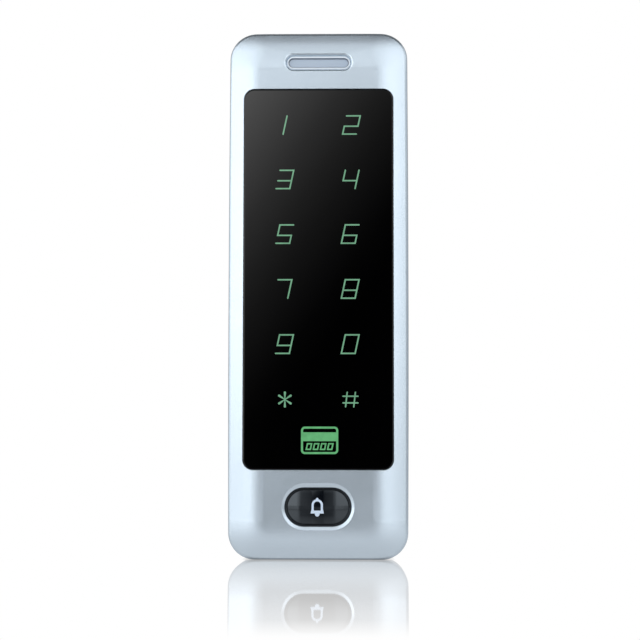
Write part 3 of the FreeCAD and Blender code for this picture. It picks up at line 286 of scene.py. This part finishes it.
def lens_plastic():
    """Indicator lens: its outer ring has a painted highlight and a faint painted glow, and the wall of
    its sunk window has painted shade.
    """
    surface = Surface("lens_plastic", (0.60, 0.72, 0.87), 0.08)
    surface.set(Transmission_Weight=0.15, IOR=ACRYLIC_IOR, Emission_Color=(0.72, 0.86, 1.0, 1.0))
    reach = surface.distance_round(LENS_HALF_STRAIGHT, LENS_CENTRE_Z)
    # Painted highlight on the lens's outer ring: a lighter colour and a faint painted glow.
    rim_painted_light = surface.remap(reach, 0.0, 1.0, WINDOW_EDGE + 0.1 * MM, WINDOW_EDGE + 0.2 * MM)
    surface.tint(rim_painted_light, (0.86, 0.93, 0.99), from_low=0.0, from_high=1.0)
    strength = surface.remap(rim_painted_light, 0.0, RIM_PAINTED_GLOW, from_low=0.0, from_high=1.0)
    surface.links.new(strength, surface.shader.inputs["Emission Strength"])
    # Painted shade: a dark band just inside the edge of the sunk window, where its wall would be in
    # shade.
    inside = surface.remap(reach, 0.0, 1.0, WINDOW_EDGE - 0.3 * MM, WINDOW_EDGE - 0.05 * MM)
    wall = surface.compute("SUBTRACT", inside, rim_painted_light)
    surface.tint(wall, (0.16, 0.19, 0.25), from_low=0.0, from_high=1.25)
    surface.vary_roughness(surface.noise(1.5 * MM), spread=0.03)
    surface.bump(surface.noise(2.5 * MM, detail=1.0), depth=0.003 * MM, strength=0.5)
    return surface.material


def milky_plastic():
    """Light guide: bluish white, dense enough to hide the LEDs."""
    surface = Surface("milky_plastic", (0.48, 0.62, 0.80), 0.38)
    surface.set(Subsurface_Weight=0.25, Subsurface_Radius=(2 * MM, 2 * MM, 3 * MM))
    surface.tint(surface.noise(3 * MM), (0.50, 0.60, 0.77))
    return surface.material


def moulded_black(name, tone, roughness, grain):
    """Black moulding with a spark-eroded grain."""
    surface = Surface(name, (tone, tone, 1.08 * tone), roughness)
    surface.bump(surface.noise(grain, detail=3.0), depth=0.02 * MM, strength=0.7)
    surface.tint(surface.noise(6 * MM, detail=3.0), (1.7 * tone, 1.7 * tone, 1.8 * tone))
    surface.vary_roughness(surface.noise(1.1 * MM, detail=3.0), spread=0.07)
    return surface.material


def rubber(name, tone):
    """Dull rubber or foam with lighter patches."""
    surface = Surface(name, (tone, tone, tone), 0.72)
    surface.set(Specular_IOR_Level=0.35)
    surface.bump(surface.noise(0.35 * MM, detail=4.0), depth=0.03 * MM, strength=0.6)
    surface.tint(surface.noise(4 * MM, detail=3.0), (2.0 * tone, 2.0 * tone, 2.0 * tone))
    return surface.material


def brushed_stainless():
    """Rolled and brushed sheet: fine streaks along Z."""
    colour = (0.62, 0.62, 0.61)
    surface = Surface("brushed_stainless", colour, 0.33, metallic=1.0)
    streaks = surface.noise(6 * MM, detail=5.0, along=(40.0, 40.0, 1.0))
    surface.set(Anisotropic=0.4)
    surface.bump(streaks, depth=0.006 * MM, strength=0.6)
    surface.vary_roughness(streaks, spread=0.1)
    surface.tint(surface.noise(18 * MM, detail=3.0), tuple(0.86 * c for c in colour))
    surface.bevel(0.1 * MM)
    return surface.material


def turned_metal(name, colour, roughness=0.3):
    """Plated screw or can, with fine tool marks."""
    surface = Surface(name, colour, roughness, metallic=1.0)
    surface.bump(surface.noise(0.25 * MM, detail=3.0), depth=0.006 * MM, strength=0.6)
    surface.vary_roughness(surface.noise(0.9 * MM, detail=3.0), spread=0.1)
    surface.bevel(0.06 * MM)
    return surface.material


def circuit_board():
    """Solder mask with lighter copper tracks under it."""
    surface = Surface("circuit_board", (0.010, 0.085, 0.035), 0.34)
    tracks = surface.nodes.new("ShaderNodeTexBrick")
    tracks.inputs["Scale"].default_value = 1.0 / (7 * MM)
    tracks.inputs["Mortar Size"].default_value = 0.028
    tracks.inputs["Brick Width"].default_value = 0.9
    tracks.inputs["Row Height"].default_value = 0.22
    turned = surface.nodes.new("ShaderNodeMapping")
    turned.inputs["Rotation"].default_value = (math.radians(90), 0, 0)
    surface.links.new(surface.place, turned.inputs["Vector"])
    surface.links.new(turned.outputs["Vector"], tracks.inputs["Vector"])
    surface.tint(tracks.outputs["Fac"], (0.05, 0.26, 0.10), from_low=0.0, from_high=1.0)
    surface.bump(tracks.outputs["Fac"], depth=0.03 * MM, strength=0.6)
    surface.bump(surface.noise(0.5 * MM), depth=0.008 * MM, strength=0.5)
    return surface.material


def wound_copper():
    """Enamelled wire laid side by side round the coil, with a painted highlight along each turn and
    painted shade between turns.
    """
    surface = Surface("wound_copper", (0.62, 0.24, 0.09), 0.3, metallic=1.0)
    turns = surface.nodes.new("ShaderNodeTexWave")
    turns.wave_type = "BANDS"
    turns.bands_direction = "Y"
    turns.inputs["Scale"].default_value = 1.0 / (1.2 * MM)
    turns.inputs["Distortion"].default_value = 0.6
    surface.links.new(surface.place, turns.inputs["Vector"])
    surface.bump(turns.outputs["Fac"], depth=0.06 * MM, strength=0.8)
    # Painted highlight and shade: lighter where the turns stand highest, darker in the grooves between
    # them.
    surface.tint(turns.outputs["Fac"], (0.80, 0.36, 0.15), from_low=0.0, from_high=1.0)
    return surface.material


def moulded(name, colour, roughness=0.45):
    """Plain coloured moulding or ceramic with a fine grain."""
    surface = Surface(name, colour, roughness)
    surface.bump(surface.noise(0.3 * MM, detail=3.0), depth=0.01 * MM, strength=0.5)
    surface.tint(surface.noise(2.5 * MM, detail=3.0), tuple(0.8 * c for c in colour))
    surface.vary_roughness(surface.noise(1.0 * MM), spread=0.06)
    return surface.material


def give_materials():
    """One procedural material for every CAD piece."""
    board = circuit_board()
    black = moulded_black("moulded_black", tone=0.022, roughness=0.52, grain=0.28 * MM)
    package = moulded_black("chip_package", tone=0.018, roughness=0.6, grain=0.12 * MM)
    stainless = brushed_stainless()
    tinned = turned_metal("tinned_steel", (0.66, 0.66, 0.64))
    glossy = gloss_black()
    white = moulded("white_moulding", (0.80, 0.80, 0.76))
    silicone = rubber("silicone", 0.045)
    table = {
        "front_housing": satin_silver(),
        "touch_panel": dark_glass(),
        "panel_tape": rubber("foam_tape", 0.006),
        "legend_film": moulded_black("printed_film", tone=0.008, roughness=0.5, grain=0.2 * MM),
        "touch_board": board,
        "main_board": board,
        "light_box": black,
        "board_header": black,
        "backlight_leds": white,
        "status_leds": white,
        "antenna_coil": wound_copper(),
        "indicator_lens": lens_plastic(),
        "tamper_window": clear_plastic(),
        "indicator_diffuser": milky_plastic(),
        "bell_button_bezel": glossy,
        "bell_button_cap": glossy,
        "bell_button_symbol": symbol_white(),
        "bell_button_seal": silicone,
        "cover_gasket": silicone,
        "bell_switch_body": black,
        "bell_switch_plunger": moulded("plunger_tan", (0.45, 0.30, 0.16)),
        "bell_switch_cover": tinned,
        "bell_switch_dome": tinned,
        "crystal": tinned,
        "relay": moulded("relay_blue", (0.02, 0.08, 0.32)),
        "inductor": package,
        "buzzer": black,
        "smd_passives": moulded("ceramic_tan", (0.38, 0.26, 0.15)),
        "electrolytic_capacitors": turned_metal("aluminium_can", (0.75, 0.76, 0.77)),
        "cable_connector": white,
        "tamper_sensor": moulded("sensor_amber", (0.60, 0.28, 0.06), roughness=0.25),
        "board_screws": turned_metal("zinc_plate", (0.68, 0.68, 0.66)),
        "cover_screws": turned_metal("black_oxide", (0.03, 0.03, 0.032), roughness=0.42),
        "rear_cover": black,
        "cable_grommet": rubber("black_rubber", 0.014),
        "wall_bracket": stainless,
        "bracket_lug": stainless,
        "security_screw": turned_metal("stainless_screw", (0.62, 0.62, 0.61)),
        "microcontroller": package,
        "reader_chip": package,
        "touch_controller": package,
        "memory_chip": package,
        "voltage_regulator": package,
        "audio_driver": package,
        "protection_diodes": package,
    }
    for name, material in table.items():
        NODES[name].data.materials.clear()
        NODES[name].data.materials.append(material)


# ---------------------------------------------------------------- legends on the glass

STROKE = 0.48 * MM
DIGIT_WIDTH = 4.55 * MM
DIGIT_HEIGHT = 6.15 * MM
DIGIT_SLANT = 0.213
MIDDLE_BAR = 0.43          # height of the middle bar as a share of the digit
CAP_STEPS = 8              # facets of a stroke's round end
CORNER_STEPS = 6           # facets of a round corner
MITRE_LIMIT = 0.3          # keeps the point of a sharp bend from growing long
PRINT_THICKNESS = 0.02 * MM
PRINT_SINK = 0.25 * PRINT_THICKNESS

STAR_REACH = 2.3 * MM
STAR_ANGLES = (90, 146, 214, 270, 326, 34)     # degrees
STAR_CENTRE_WIDTH = 0.2 * MM
STAR_TIP_WIDTH = 0.74 * MM

HASH_HALF_WIDTH = 2.45 * MM
HASH_HALF_HEIGHT = 2.4 * MM
HASH_SHIFT = -0.1 * MM
HASH_SLANT = 0.11
HASH_LEVELS = (-1.1 * MM, 1.1 * MM)
HASH_UPRIGHTS = (-1.45 * MM, 1.25 * MM)
HASH_LEVEL_STROKE = 0.46 * MM
HASH_UPRIGHT_STROKE = 0.44 * MM

CARD_WIDTH = 12.3 * MM
CARD_HEIGHT = 9.05 * MM
CARD_LINE = 0.68 * MM
CARD_CORNER = 0.95 * MM
CARD_STRIPE_HALF = 1.46 * MM
CARD_STRIPE_Z = 1.18 * MM
CARD_ZERO_SCALE = 0.30
CARD_ZERO_PITCH = 2.35 * MM
CARD_ZERO_Z = -2.05 * MM
CARD_ZERO_STROKE = 0.46 * MM

KEY_COLUMNS = (-11.0 * MM, 10.78 * MM)
KEY_TOP = 56.45 * MM
KEY_PITCH = 18.35 * MM
CARD_CENTRE = (0.5 * MM, -48.75 * MM)
FIGURES = ("1", "2", "3", "4", "5", "6", "7", "8", "9", "0", "star", "hash")
DIGIT_SHIFT = {"1": -0.2 * MM, "2": 0.2 * MM, "4": -0.2 * MM, "7": -0.75 * MM}
USUAL_SHIFT = -0.2 * MM


def across(direction):
    """Unit vector to the left of a direction in the XZ plane."""
    return Vector((-direction.y, direction.x)).normalized()


def ribbon(points, width, closed=False, tip_width=None):
    """Outline of a stroke of even or growing width, as (left, right) point pairs."""
    count = len(points)
    pairs = []
    for i, point in enumerate(points):
        before = points[i - 1] if closed or i > 0 else None
        after = points[(i + 1) % count] if closed or i < count - 1 else None
        directions = [(point - before).normalized()] if before is not None else []
        if after is not None:
            directions.append((after - point).normalized())
        normal = sum((across(d) for d in directions), Vector((0, 0))).normalized()
        half = 0.5 * (width if tip_width is None or i == 0 else tip_width)
        half /= max(MITRE_LIMIT, normal.dot(across(directions[0])))
        pairs.append((point + normal * half, point - normal * half))
    return pairs


def add_stroke(mesh, points, width=STROKE, closed=False, tip_width=None):
    """Add a stroke's flat faces to a bmesh whose x and y stand for the panel's X and Z."""
    points = [Vector(p) for p in points]
    pairs = ribbon(points, width, closed, tip_width)
    corners = [(mesh.verts.new((*left, 0)), mesh.verts.new((*right, 0))) for left, right in pairs]
    links = list(zip(corners, corners[1:] + (corners[:1] if closed else [])))
    for (left, right), (next_left, next_right) in links:
        mesh.faces.new((left, right, next_right, next_left))
    if closed:
        return
    for end, sign in ((0, -1), (-1, 1)):
        neighbour = points[1] if end == 0 else points[-2]
        direction = (points[end] - neighbour).normalized()
        side = across(direction)
        radius = (pairs[end][0] - pairs[end][1]).length / 2
        arc = []
        for step in range(1, CAP_STEPS):
            angle = math.pi * step / CAP_STEPS
            offset = side * math.cos(angle) + direction * math.sin(angle)
            arc.append(mesh.verts.new((*(points[end] + offset * radius), 0)))
        first, last = (corners[end][1], corners[end][0]) if sign < 0 else corners[end]
        mesh.faces.new([first, *arc, last])


def place_print(mesh, name, centre, material):
    """Turn flat faces into a thin print on the glass at a centre point (x, z)."""
    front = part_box("touch_panel")[0].y
    bmesh.ops.recalc_face_normals(mesh, faces=mesh.faces)
    solid = bmesh.ops.extrude_face_region(mesh, geom=list(mesh.faces))
    moved = [item for item in solid["geom"] if isinstance(item, bmesh.types.BMVert)]
    bmesh.ops.translate(mesh, verts=moved, vec=(0, 0, PRINT_THICKNESS))
    for vertex in mesh.verts:
        x, z, height = vertex.co
        vertex.co = (centre[0] + x, front + PRINT_SINK - height, centre[1] + z)
    bmesh.ops.recalc_face_normals(mesh, faces=mesh.faces)
    data = bpy.data.meshes.new(name)
    mesh.to_mesh(data)
    mesh.free()
    piece = bpy.data.objects.new(name, data)
    bpy.context.scene.collection.objects.link(piece)
    data.materials.append(material)
    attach(piece, "root")


def digit_point(column, row):
    """A corner of the slanted seven-segment figure; column and row run from 0 to 1."""
    z = (row - 0.5) * DIGIT_HEIGHT
    return ((column - 0.5) * DIGIT_WIDTH + DIGIT_SLANT * z, z)


def digit_strokes():
    """Strokes of each figure, each one a run of corners on the slanted frame."""
    top_left, top_right = digit_point(0, 1), digit_point(1, 1)
    mid_left, mid_right = digit_point(0, MIDDLE_BAR), digit_point(1, MIDDLE_BAR)
    low_left, low_right = digit_point(0, 0), digit_point(1, 0)
    upright = [digit_point(0.5, 0), digit_point(0.5, 1)]
    return {
        "1": [upright],
        "2": [[top_left, top_right, mid_right, mid_left, low_left, low_right]],
        "3": [[top_left, top_right, low_right, low_left], [mid_left, mid_right]],
        "4": [[top_left, mid_left, mid_right], [top_right, low_right]],
        "5": [[top_right, top_left, mid_left, mid_right, low_right, low_left]],
        "6": [[top_right, top_left, low_left, low_right, mid_right, mid_left]],
        "7": [[top_left, top_right, low_right]],
        "8": [[top_left, top_right, low_right, low_left, "closed"], [mid_left, mid_right]],
        "9": [[mid_right, mid_left, top_left, top_right, low_right, low_left]],
        "0": [[top_left, top_right, low_right, low_left, "closed"]],
    }


def add_digit(mesh, strokes, scale=1.0, offset=(0.0, 0.0), width=STROKE):
    """Draw one figure, scaled and then moved by an (x, z) offset."""
    for stroke in strokes:
        closed = stroke[-1] == "closed"
        corners = stroke[:-1] if closed else stroke
        spots = [(scale * x + offset[0], scale * z + offset[1]) for x, z in corners]
        add_stroke(mesh, spots, width, closed)


def add_star(mesh):
    """Six arms that widen towards their tips."""
    for degrees in STAR_ANGLES:
        angle = math.radians(degrees)
        tip = (STAR_REACH * math.cos(angle), STAR_REACH * math.sin(angle))
        add_stroke(mesh, [(0.0, 0.0), tip], STAR_CENTRE_WIDTH, tip_width=STAR_TIP_WIDTH)


def add_hash(mesh):
    """Two level bars crossed by two slightly slanted ones."""
    for z in HASH_LEVELS:
        ends = [(HASH_SHIFT - HASH_HALF_WIDTH, z), (HASH_SHIFT + HASH_HALF_WIDTH, z)]
        add_stroke(mesh, ends, HASH_LEVEL_STROKE)
    lean = HASH_SLANT * HASH_HALF_HEIGHT
    for x in HASH_UPRIGHTS:
        ends = [(x - lean, -HASH_HALF_HEIGHT), (x + lean, HASH_HALF_HEIGHT)]
        add_stroke(mesh, ends, HASH_UPRIGHT_STROKE)


def rounded_corners(width, height, radius):
    """Closed run of points round a rectangle with round corners."""
    run = []
    for quarter, (sx, sz) in enumerate(((1, 1), (-1, 1), (-1, -1), (1, -1))):
        for step in range(CORNER_STEPS + 1):
            angle = math.radians(90 * quarter + 90 * step / CORNER_STEPS)
            run.append((sx * (width / 2 - radius) + radius * math.cos(angle),
                        sz * (height / 2 - radius) + radius * math.sin(angle)))
    return run


def add_card(mesh, zero):
    """Bank-card symbol: round frame, solid stripe and four plain zeros for a number."""
    frame_run = rounded_corners(CARD_WIDTH - CARD_LINE, CARD_HEIGHT - CARD_LINE, CARD_CORNER)
    add_stroke(mesh, frame_run, CARD_LINE, closed=True)
    edge = 0.5 * (CARD_WIDTH - CARD_LINE)
    low, high = CARD_STRIPE_Z - CARD_STRIPE_HALF, CARD_STRIPE_Z + CARD_STRIPE_HALF
    stripe = [(-edge, low), (edge, low), (edge, high), (-edge, high)]
    mesh.faces.new([mesh.verts.new((*corner, 0)) for corner in stripe])
    for place in (-1.5, -0.5, 0.5, 1.5):
        offset = (place * CARD_ZERO_PITCH, CARD_ZERO_Z)
        add_digit(mesh, zero, CARD_ZERO_SCALE, offset, CARD_ZERO_STROKE)


def add_legends():
    """The twelve key legends and the card symbol."""
    green = legend_light("legend_green", (0.165, 0.37, 0.23))
    card_green = legend_light("card_green", (0.125, 0.41, 0.175))
    strokes = digit_strokes()
    for index, figure in enumerate(FIGURES):
        mesh = bmesh.new()
        if figure == "star":
            add_star(mesh)
        elif figure == "hash":
            add_hash(mesh)
        else:
            add_digit(mesh, strokes[figure], offset=(DIGIT_SHIFT.get(figure, USUAL_SHIFT), 0.0))
        centre = (KEY_COLUMNS[index % 2], KEY_TOP - KEY_PITCH * (index // 2))
        place_print(mesh, f"legend_{figure}", centre, green)
    mesh = bmesh.new()
    add_card(mesh, strokes["0"])
    place_print(mesh, "legend_card", CARD_CENTRE, card_green)


# ---------------------------------------------------------------- studio

CAMERA_DISTANCE = 0.62
CAMERA_HEIGHT = 29.4 * MM
CAMERA_SIDE = math.radians(1.2)
CAMERA_YAW = math.radians(1.14)
CAMERA_PITCH = math.radians(4.576)
CAMERA_ROLL = math.radians(-0.08)
CAMERA_LENS = 105.63

# Tables below are (position, level) stops.  A compass position is in degrees: 0 is straight
# ahead of the reader, towards the camera, and positive is to the right.  A distance ahead is
# in metres from the wall towards the camera.  To the camera the floor and the room glow
# white; these levels are what lights the reader and what it mirrors.
FLOOR_Z = cad_box[0].z
FLOOR_HALF_SIZE = 3.0
FLOOR_GLOW = 0.62
# Share of the mirror image in the floor, by distance ahead, and the power by which it fades
# where the floor is seen more steeply.
FLOOR_MIRROR = [(0.02, 0.0), (0.02136, 0.86), (0.0812, 0.70), (0.1526, 0.60), (0.2104, 0.54),
                (0.2682, 0.38), (0.3056, 0.02), (0.36, 0.0)]
MIRROR_FALLOFF = 3.0
MIRROR_ROUGHNESS = 0.02
# The floor is darker straight ahead, by compass, once it is some way from the reader.
FLOOR_GAP = [(-90, 1.0), (-14.5, 1.0), (-13.5, 0.42), (9.5, 0.42), (10.5, 1.0), (90, 1.0)]
FLOOR_GAP_START = [(0.0, 1.0), (0.10, 1.0), (0.15, 0.0), (0.3, 0.0)]
# Further off, where the mirror image has faded, the floor is lighter on both sides of the gap.
FLOOR_FAR = [(-90, 1.0), (-25, 1.0), (-20, 2.2), (-14.5, 2.3), (-13.5, 0.6), (9.5, 0.6), (10.5, 2.0),
             (15, 2.0), (21, 1.0), (90, 1.0)]
FLOOR_FAR_START = [(0.0, 0.0), (0.25, 0.0), (0.45, 1.0), (0.5, 1.0)]
# Shade under the reader, by distance ahead and by distance to either side.
CONTACT_AHEAD = [(0.0, 1.0), (0.001, 0.38), (0.0196, 0.38), (0.0204, 1.0), (0.04, 1.0)]
CONTACT_ASIDE = [(0.0, 0.0), (0.019, 0.0), (0.0255, 1.0), (0.04, 1.0)]

# Card behind the camera.  Its tone falls to the right and rises upwards, per metre from the
# tone at the origin, and its light follows the tone.
GRADIENT_PLACE = (-0.03, -1.5, 0.25)
GRADIENT_HALF_WIDTH = 0.11
GRADIENT_HALF_HEIGHT = 0.27
TONE_RIGHT = -1.40
TONE_UP = 0.98
TONE_ORIGIN = -0.212
TONE_LEVEL = [(-0.1, 0.0), (-0.05, 0.02), (0.0, 0.075), (0.05, 0.15), (0.10, 0.28), (0.16, 0.54),
              (0.22, 0.98), (0.28, 1.52), (0.4, 3.0)]

# Brightness of the room round the compass: two banks of softboxes leave a dark gap behind the
# camera, which closes higher up.
ROOM_LEVEL = [(-180, 1.0), (-168, 1.0), (-165, 0.35), (-122, 0.35), (-105, 0.75), (-80, 1.15), (-60, 1.6),
              (-30, 2.0), (-20, 2.3), (-14.5, 2.2), (-13.5, 0.55), (-9, 0.45), (-6, 0.3), (-4, 0.0),
              (2, 0.0), (4, 0.25), (9.5, 0.45), (10.5, 1.5), (14, 1.7), (24, 1.65), (30, 1.4), (36, 1.0),
              (42, 0.6), (60, 0.3), (122, 0.3), (165, 0.35), (168, 1.0), (180, 1.0)]
ROOM_RAISED = [(-180, 1.0), (-168, 1.0), (-165, 0.35), (-122, 0.35), (-105, 0.9), (-60, 2.0), (-35, 1.9),
               (-20, 2.2), (-14.5, 2.3), (-13.5, 0.6), (-9, 0.35), (-6, 0.2), (-4, 0.0), (2, 0.0),
               (4, 0.2), (9.5, 0.4), (10.5, 1.8), (14, 1.9), (24, 1.75), (34, 1.65), (42, 0.9), (60, 0.7),
               (105, 0.6), (122, 0.35), (165, 0.35), (168, 1.0), (180, 1.0)]
ROOM_HIGH = [(-180, 1.0), (-168, 1.0), (-165, 0.35), (-122, 0.35), (-105, 0.9), (-60, 1.55), (-35, 1.55),
             (-20, 1.45), (-10, 1.1), (-3, 0.88), (1, 0.88), (9, 1.15), (20, 1.4), (36, 1.5), (60, 1.0),
             (105, 0.8), (122, 0.35), (165, 0.35), (168, 1.0), (180, 1.0)]
# Each ring takes over from the one before it between two heights, in degrees above the horizon.
ROOM_RINGS = [(0, 12, ROOM_RAISED), (9.5, 15.5, ROOM_HIGH)]
# Share of that brightness by height: the room is dark overhead.
ROOM_OVERHEAD = [(-90, 1.0), (37, 1.0), (42, 0.75), (45, 0.2), (47.5, 0.05), (60, 0.0), (90, 0.0)]


def add_camera():
    """Long lens slightly above the floor, looking up a little from just right of centre."""
    data = bpy.data.cameras.new("camera")
    data.lens = CAMERA_LENS
    camera = bpy.data.objects.new("camera", data)
    side = CAMERA_DISTANCE * math.tan(CAMERA_SIDE)
    camera.location = (side, cad_box[0].y - CAMERA_DISTANCE, FLOOR_Z + CAMERA_HEIGHT)
    camera.rotation_euler = (math.radians(90) + CAMERA_PITCH, CAMERA_ROLL, CAMERA_YAW)
    bpy.context.scene.collection.objects.link(camera)
    bpy.context.scene.camera = camera


def studio_material(name):
    """Empty material for a stage piece, with its node graph and its output node."""
    material = bpy.data.materials.new(name)
    material.use_nodes = True
    material.node_tree.nodes.clear()
    output = material.node_tree.nodes.new("ShaderNodeOutputMaterial")
    return material, Graph(material.node_tree), output


def add_plane(name, centre, half_across, half_along, material):
    """Flat stage piece; both half sizes are vectors from its centre."""
    centre, across_way, along_way = Vector(centre), Vector(half_across), Vector(half_along)
    corners = [centre + a * across_way + b * along_way for a, b in ((-1, -1), (1, -1), (1, 1), (-1, 1))]
    data = bpy.data.meshes.new(name)
    data.from_pydata(corners, [], [(0, 1, 2, 3)])
    data.materials.append(material)
    plane = bpy.data.objects.new(name, data)
    bpy.context.scene.collection.objects.link(plane)
    return plane


def floor_mirror(graph, ahead):
    """Share of the mirror image: it fades ahead of the reader and where seen steeply."""
    slant = graph.nodes.new("ShaderNodeLayerWeight")
    slant.inputs["Blend"].default_value = 0.5
    shine = graph.compute("POWER", slant.outputs["Facing"], MIRROR_FALLOFF)
    return graph.compute("MULTIPLY", graph.ramp(ahead, FLOOR_MIRROR), shine)


def floor_light(graph, x, ahead):
    """The floor's own light: white to the camera, and what the reader is lit by."""
    compass = graph.compute("DEGREES", graph.compute("ARCTAN2", x, ahead))
    near = graph.compute("MAXIMUM", graph.ramp(compass, FLOOR_GAP), graph.ramp(ahead, FLOOR_GAP_START))
    gain = graph.compute("SUBTRACT", graph.ramp(compass, FLOOR_FAR), near)
    far = graph.compute("MULTIPLY", gain, graph.ramp(ahead, FLOOR_FAR_START))
    lit = graph.compute("MULTIPLY", graph.compute("ADD", near, far), FLOOR_GLOW)
    seen = graph.nodes.new("ShaderNodeLightPath").outputs["Is Camera Ray"]
    level = graph.compute("MAXIMUM", seen, lit)
    aside = graph.compute("ABSOLUTE", x)
    contact = graph.compute("MAXIMUM", graph.ramp(ahead, CONTACT_AHEAD), graph.ramp(aside, CONTACT_ASIDE))
    return graph.compute("MULTIPLY", level, contact)


def add_floor():
    """Pale glossy floor whose reflection fades out in front of the reader."""
    material, graph, output = studio_material("pale_floor")
    place = graph.nodes.new("ShaderNodeNewGeometry").outputs["Position"]
    x, y, _ = graph.axes(place)
    ahead = graph.compute("MULTIPLY", y, -1.0)
    mirror = graph.nodes.new("ShaderNodeBsdfGlossy")
    mirror.inputs["Color"].default_value = (1, 1, 1, 1)
    mirror.inputs["Roughness"].default_value = MIRROR_ROUGHNESS
    blend = graph.nodes.new("ShaderNodeMixShader")
    graph.links.new(floor_mirror(graph, ahead), blend.inputs["Fac"])
    graph.links.new(graph.glow(floor_light(graph, x, ahead)), blend.inputs[1])
    graph.links.new(mirror.outputs["BSDF"], blend.inputs[2])
    graph.links.new(blend.outputs["Shader"], output.inputs["Surface"])
    add_plane("floor", (0, 0, FLOOR_Z), (FLOOR_HALF_SIZE, 0, 0), (0, FLOOR_HALF_SIZE, 0), material)


def add_gradient_card():
    """Dark card behind the camera, a little lit at its upper left; the glass mirrors it."""
    material, graph, output = studio_material("gradient_card")
    place = graph.nodes.new("ShaderNodeNewGeometry").outputs["Position"]
    x, _, z = graph.axes(place)
    sideways = graph.compute("MULTIPLY", x, TONE_RIGHT)
    upward = graph.compute("MULTIPLY", z, TONE_UP)
    tone = graph.compute("ADD", graph.compute("ADD", sideways, upward), TONE_ORIGIN)
    graph.links.new(graph.glow(graph.ramp(tone, TONE_LEVEL)), output.inputs["Surface"])
    half_width, half_height = (GRADIENT_HALF_WIDTH, 0, 0), (0, 0, GRADIENT_HALF_HEIGHT)
    card = add_plane("gradient_card", GRADIENT_PLACE, half_width, half_height, material)
    card.visible_camera = False
    card.visible_diffuse = False


def add_world():
    """White behind the reader for the camera; round the reader two softbox banks, dark overhead."""
    world = bpy.data.worlds.new("studio")
    bpy.context.scene.world = world
    world.use_nodes = True
    graph = Graph(world.node_tree)
    background = graph.nodes["Background"]
    background.inputs["Color"].default_value = (1, 1, 1, 1)
    x, y, z = graph.axes(graph.nodes.new("ShaderNodeTexCoord").outputs["Generated"])
    ahead = graph.compute("MULTIPLY", y, -1.0)
    compass = graph.compute("DEGREES", graph.compute("ARCTAN2", x, ahead))
    rise = graph.compute("DEGREES", graph.compute("ARCSINE", z))
    room = graph.ramp(compass, ROOM_LEVEL)
    for start, end, levels in ROOM_RINGS:
        share = graph.ramp(rise, [(-90, 0.0), (start, 0.0), (end, 1.0), (90, 1.0)])
        gain = graph.compute("SUBTRACT", graph.ramp(compass, levels), room)
        room = graph.compute("ADD", room, graph.compute("MULTIPLY", share, gain))
    room = graph.compute("MULTIPLY", room, graph.ramp(rise, ROOM_OVERHEAD))
    seen = graph.nodes.new("ShaderNodeLightPath").outputs["Is Camera Ray"]
    graph.links.new(graph.compute("MAXIMUM", room, seen), background.inputs["Strength"])


def build_scene():
    """Materials and legends on the reader, and the studio round it."""
    scene = bpy.context.scene
    scene.view_settings.view_transform = "Standard"
    scene.cycles.use_denoising = True
    give_materials()
    add_legends()
    add_camera()
    add_world()
    add_floor()
    add_gradient_card()


build_scene()
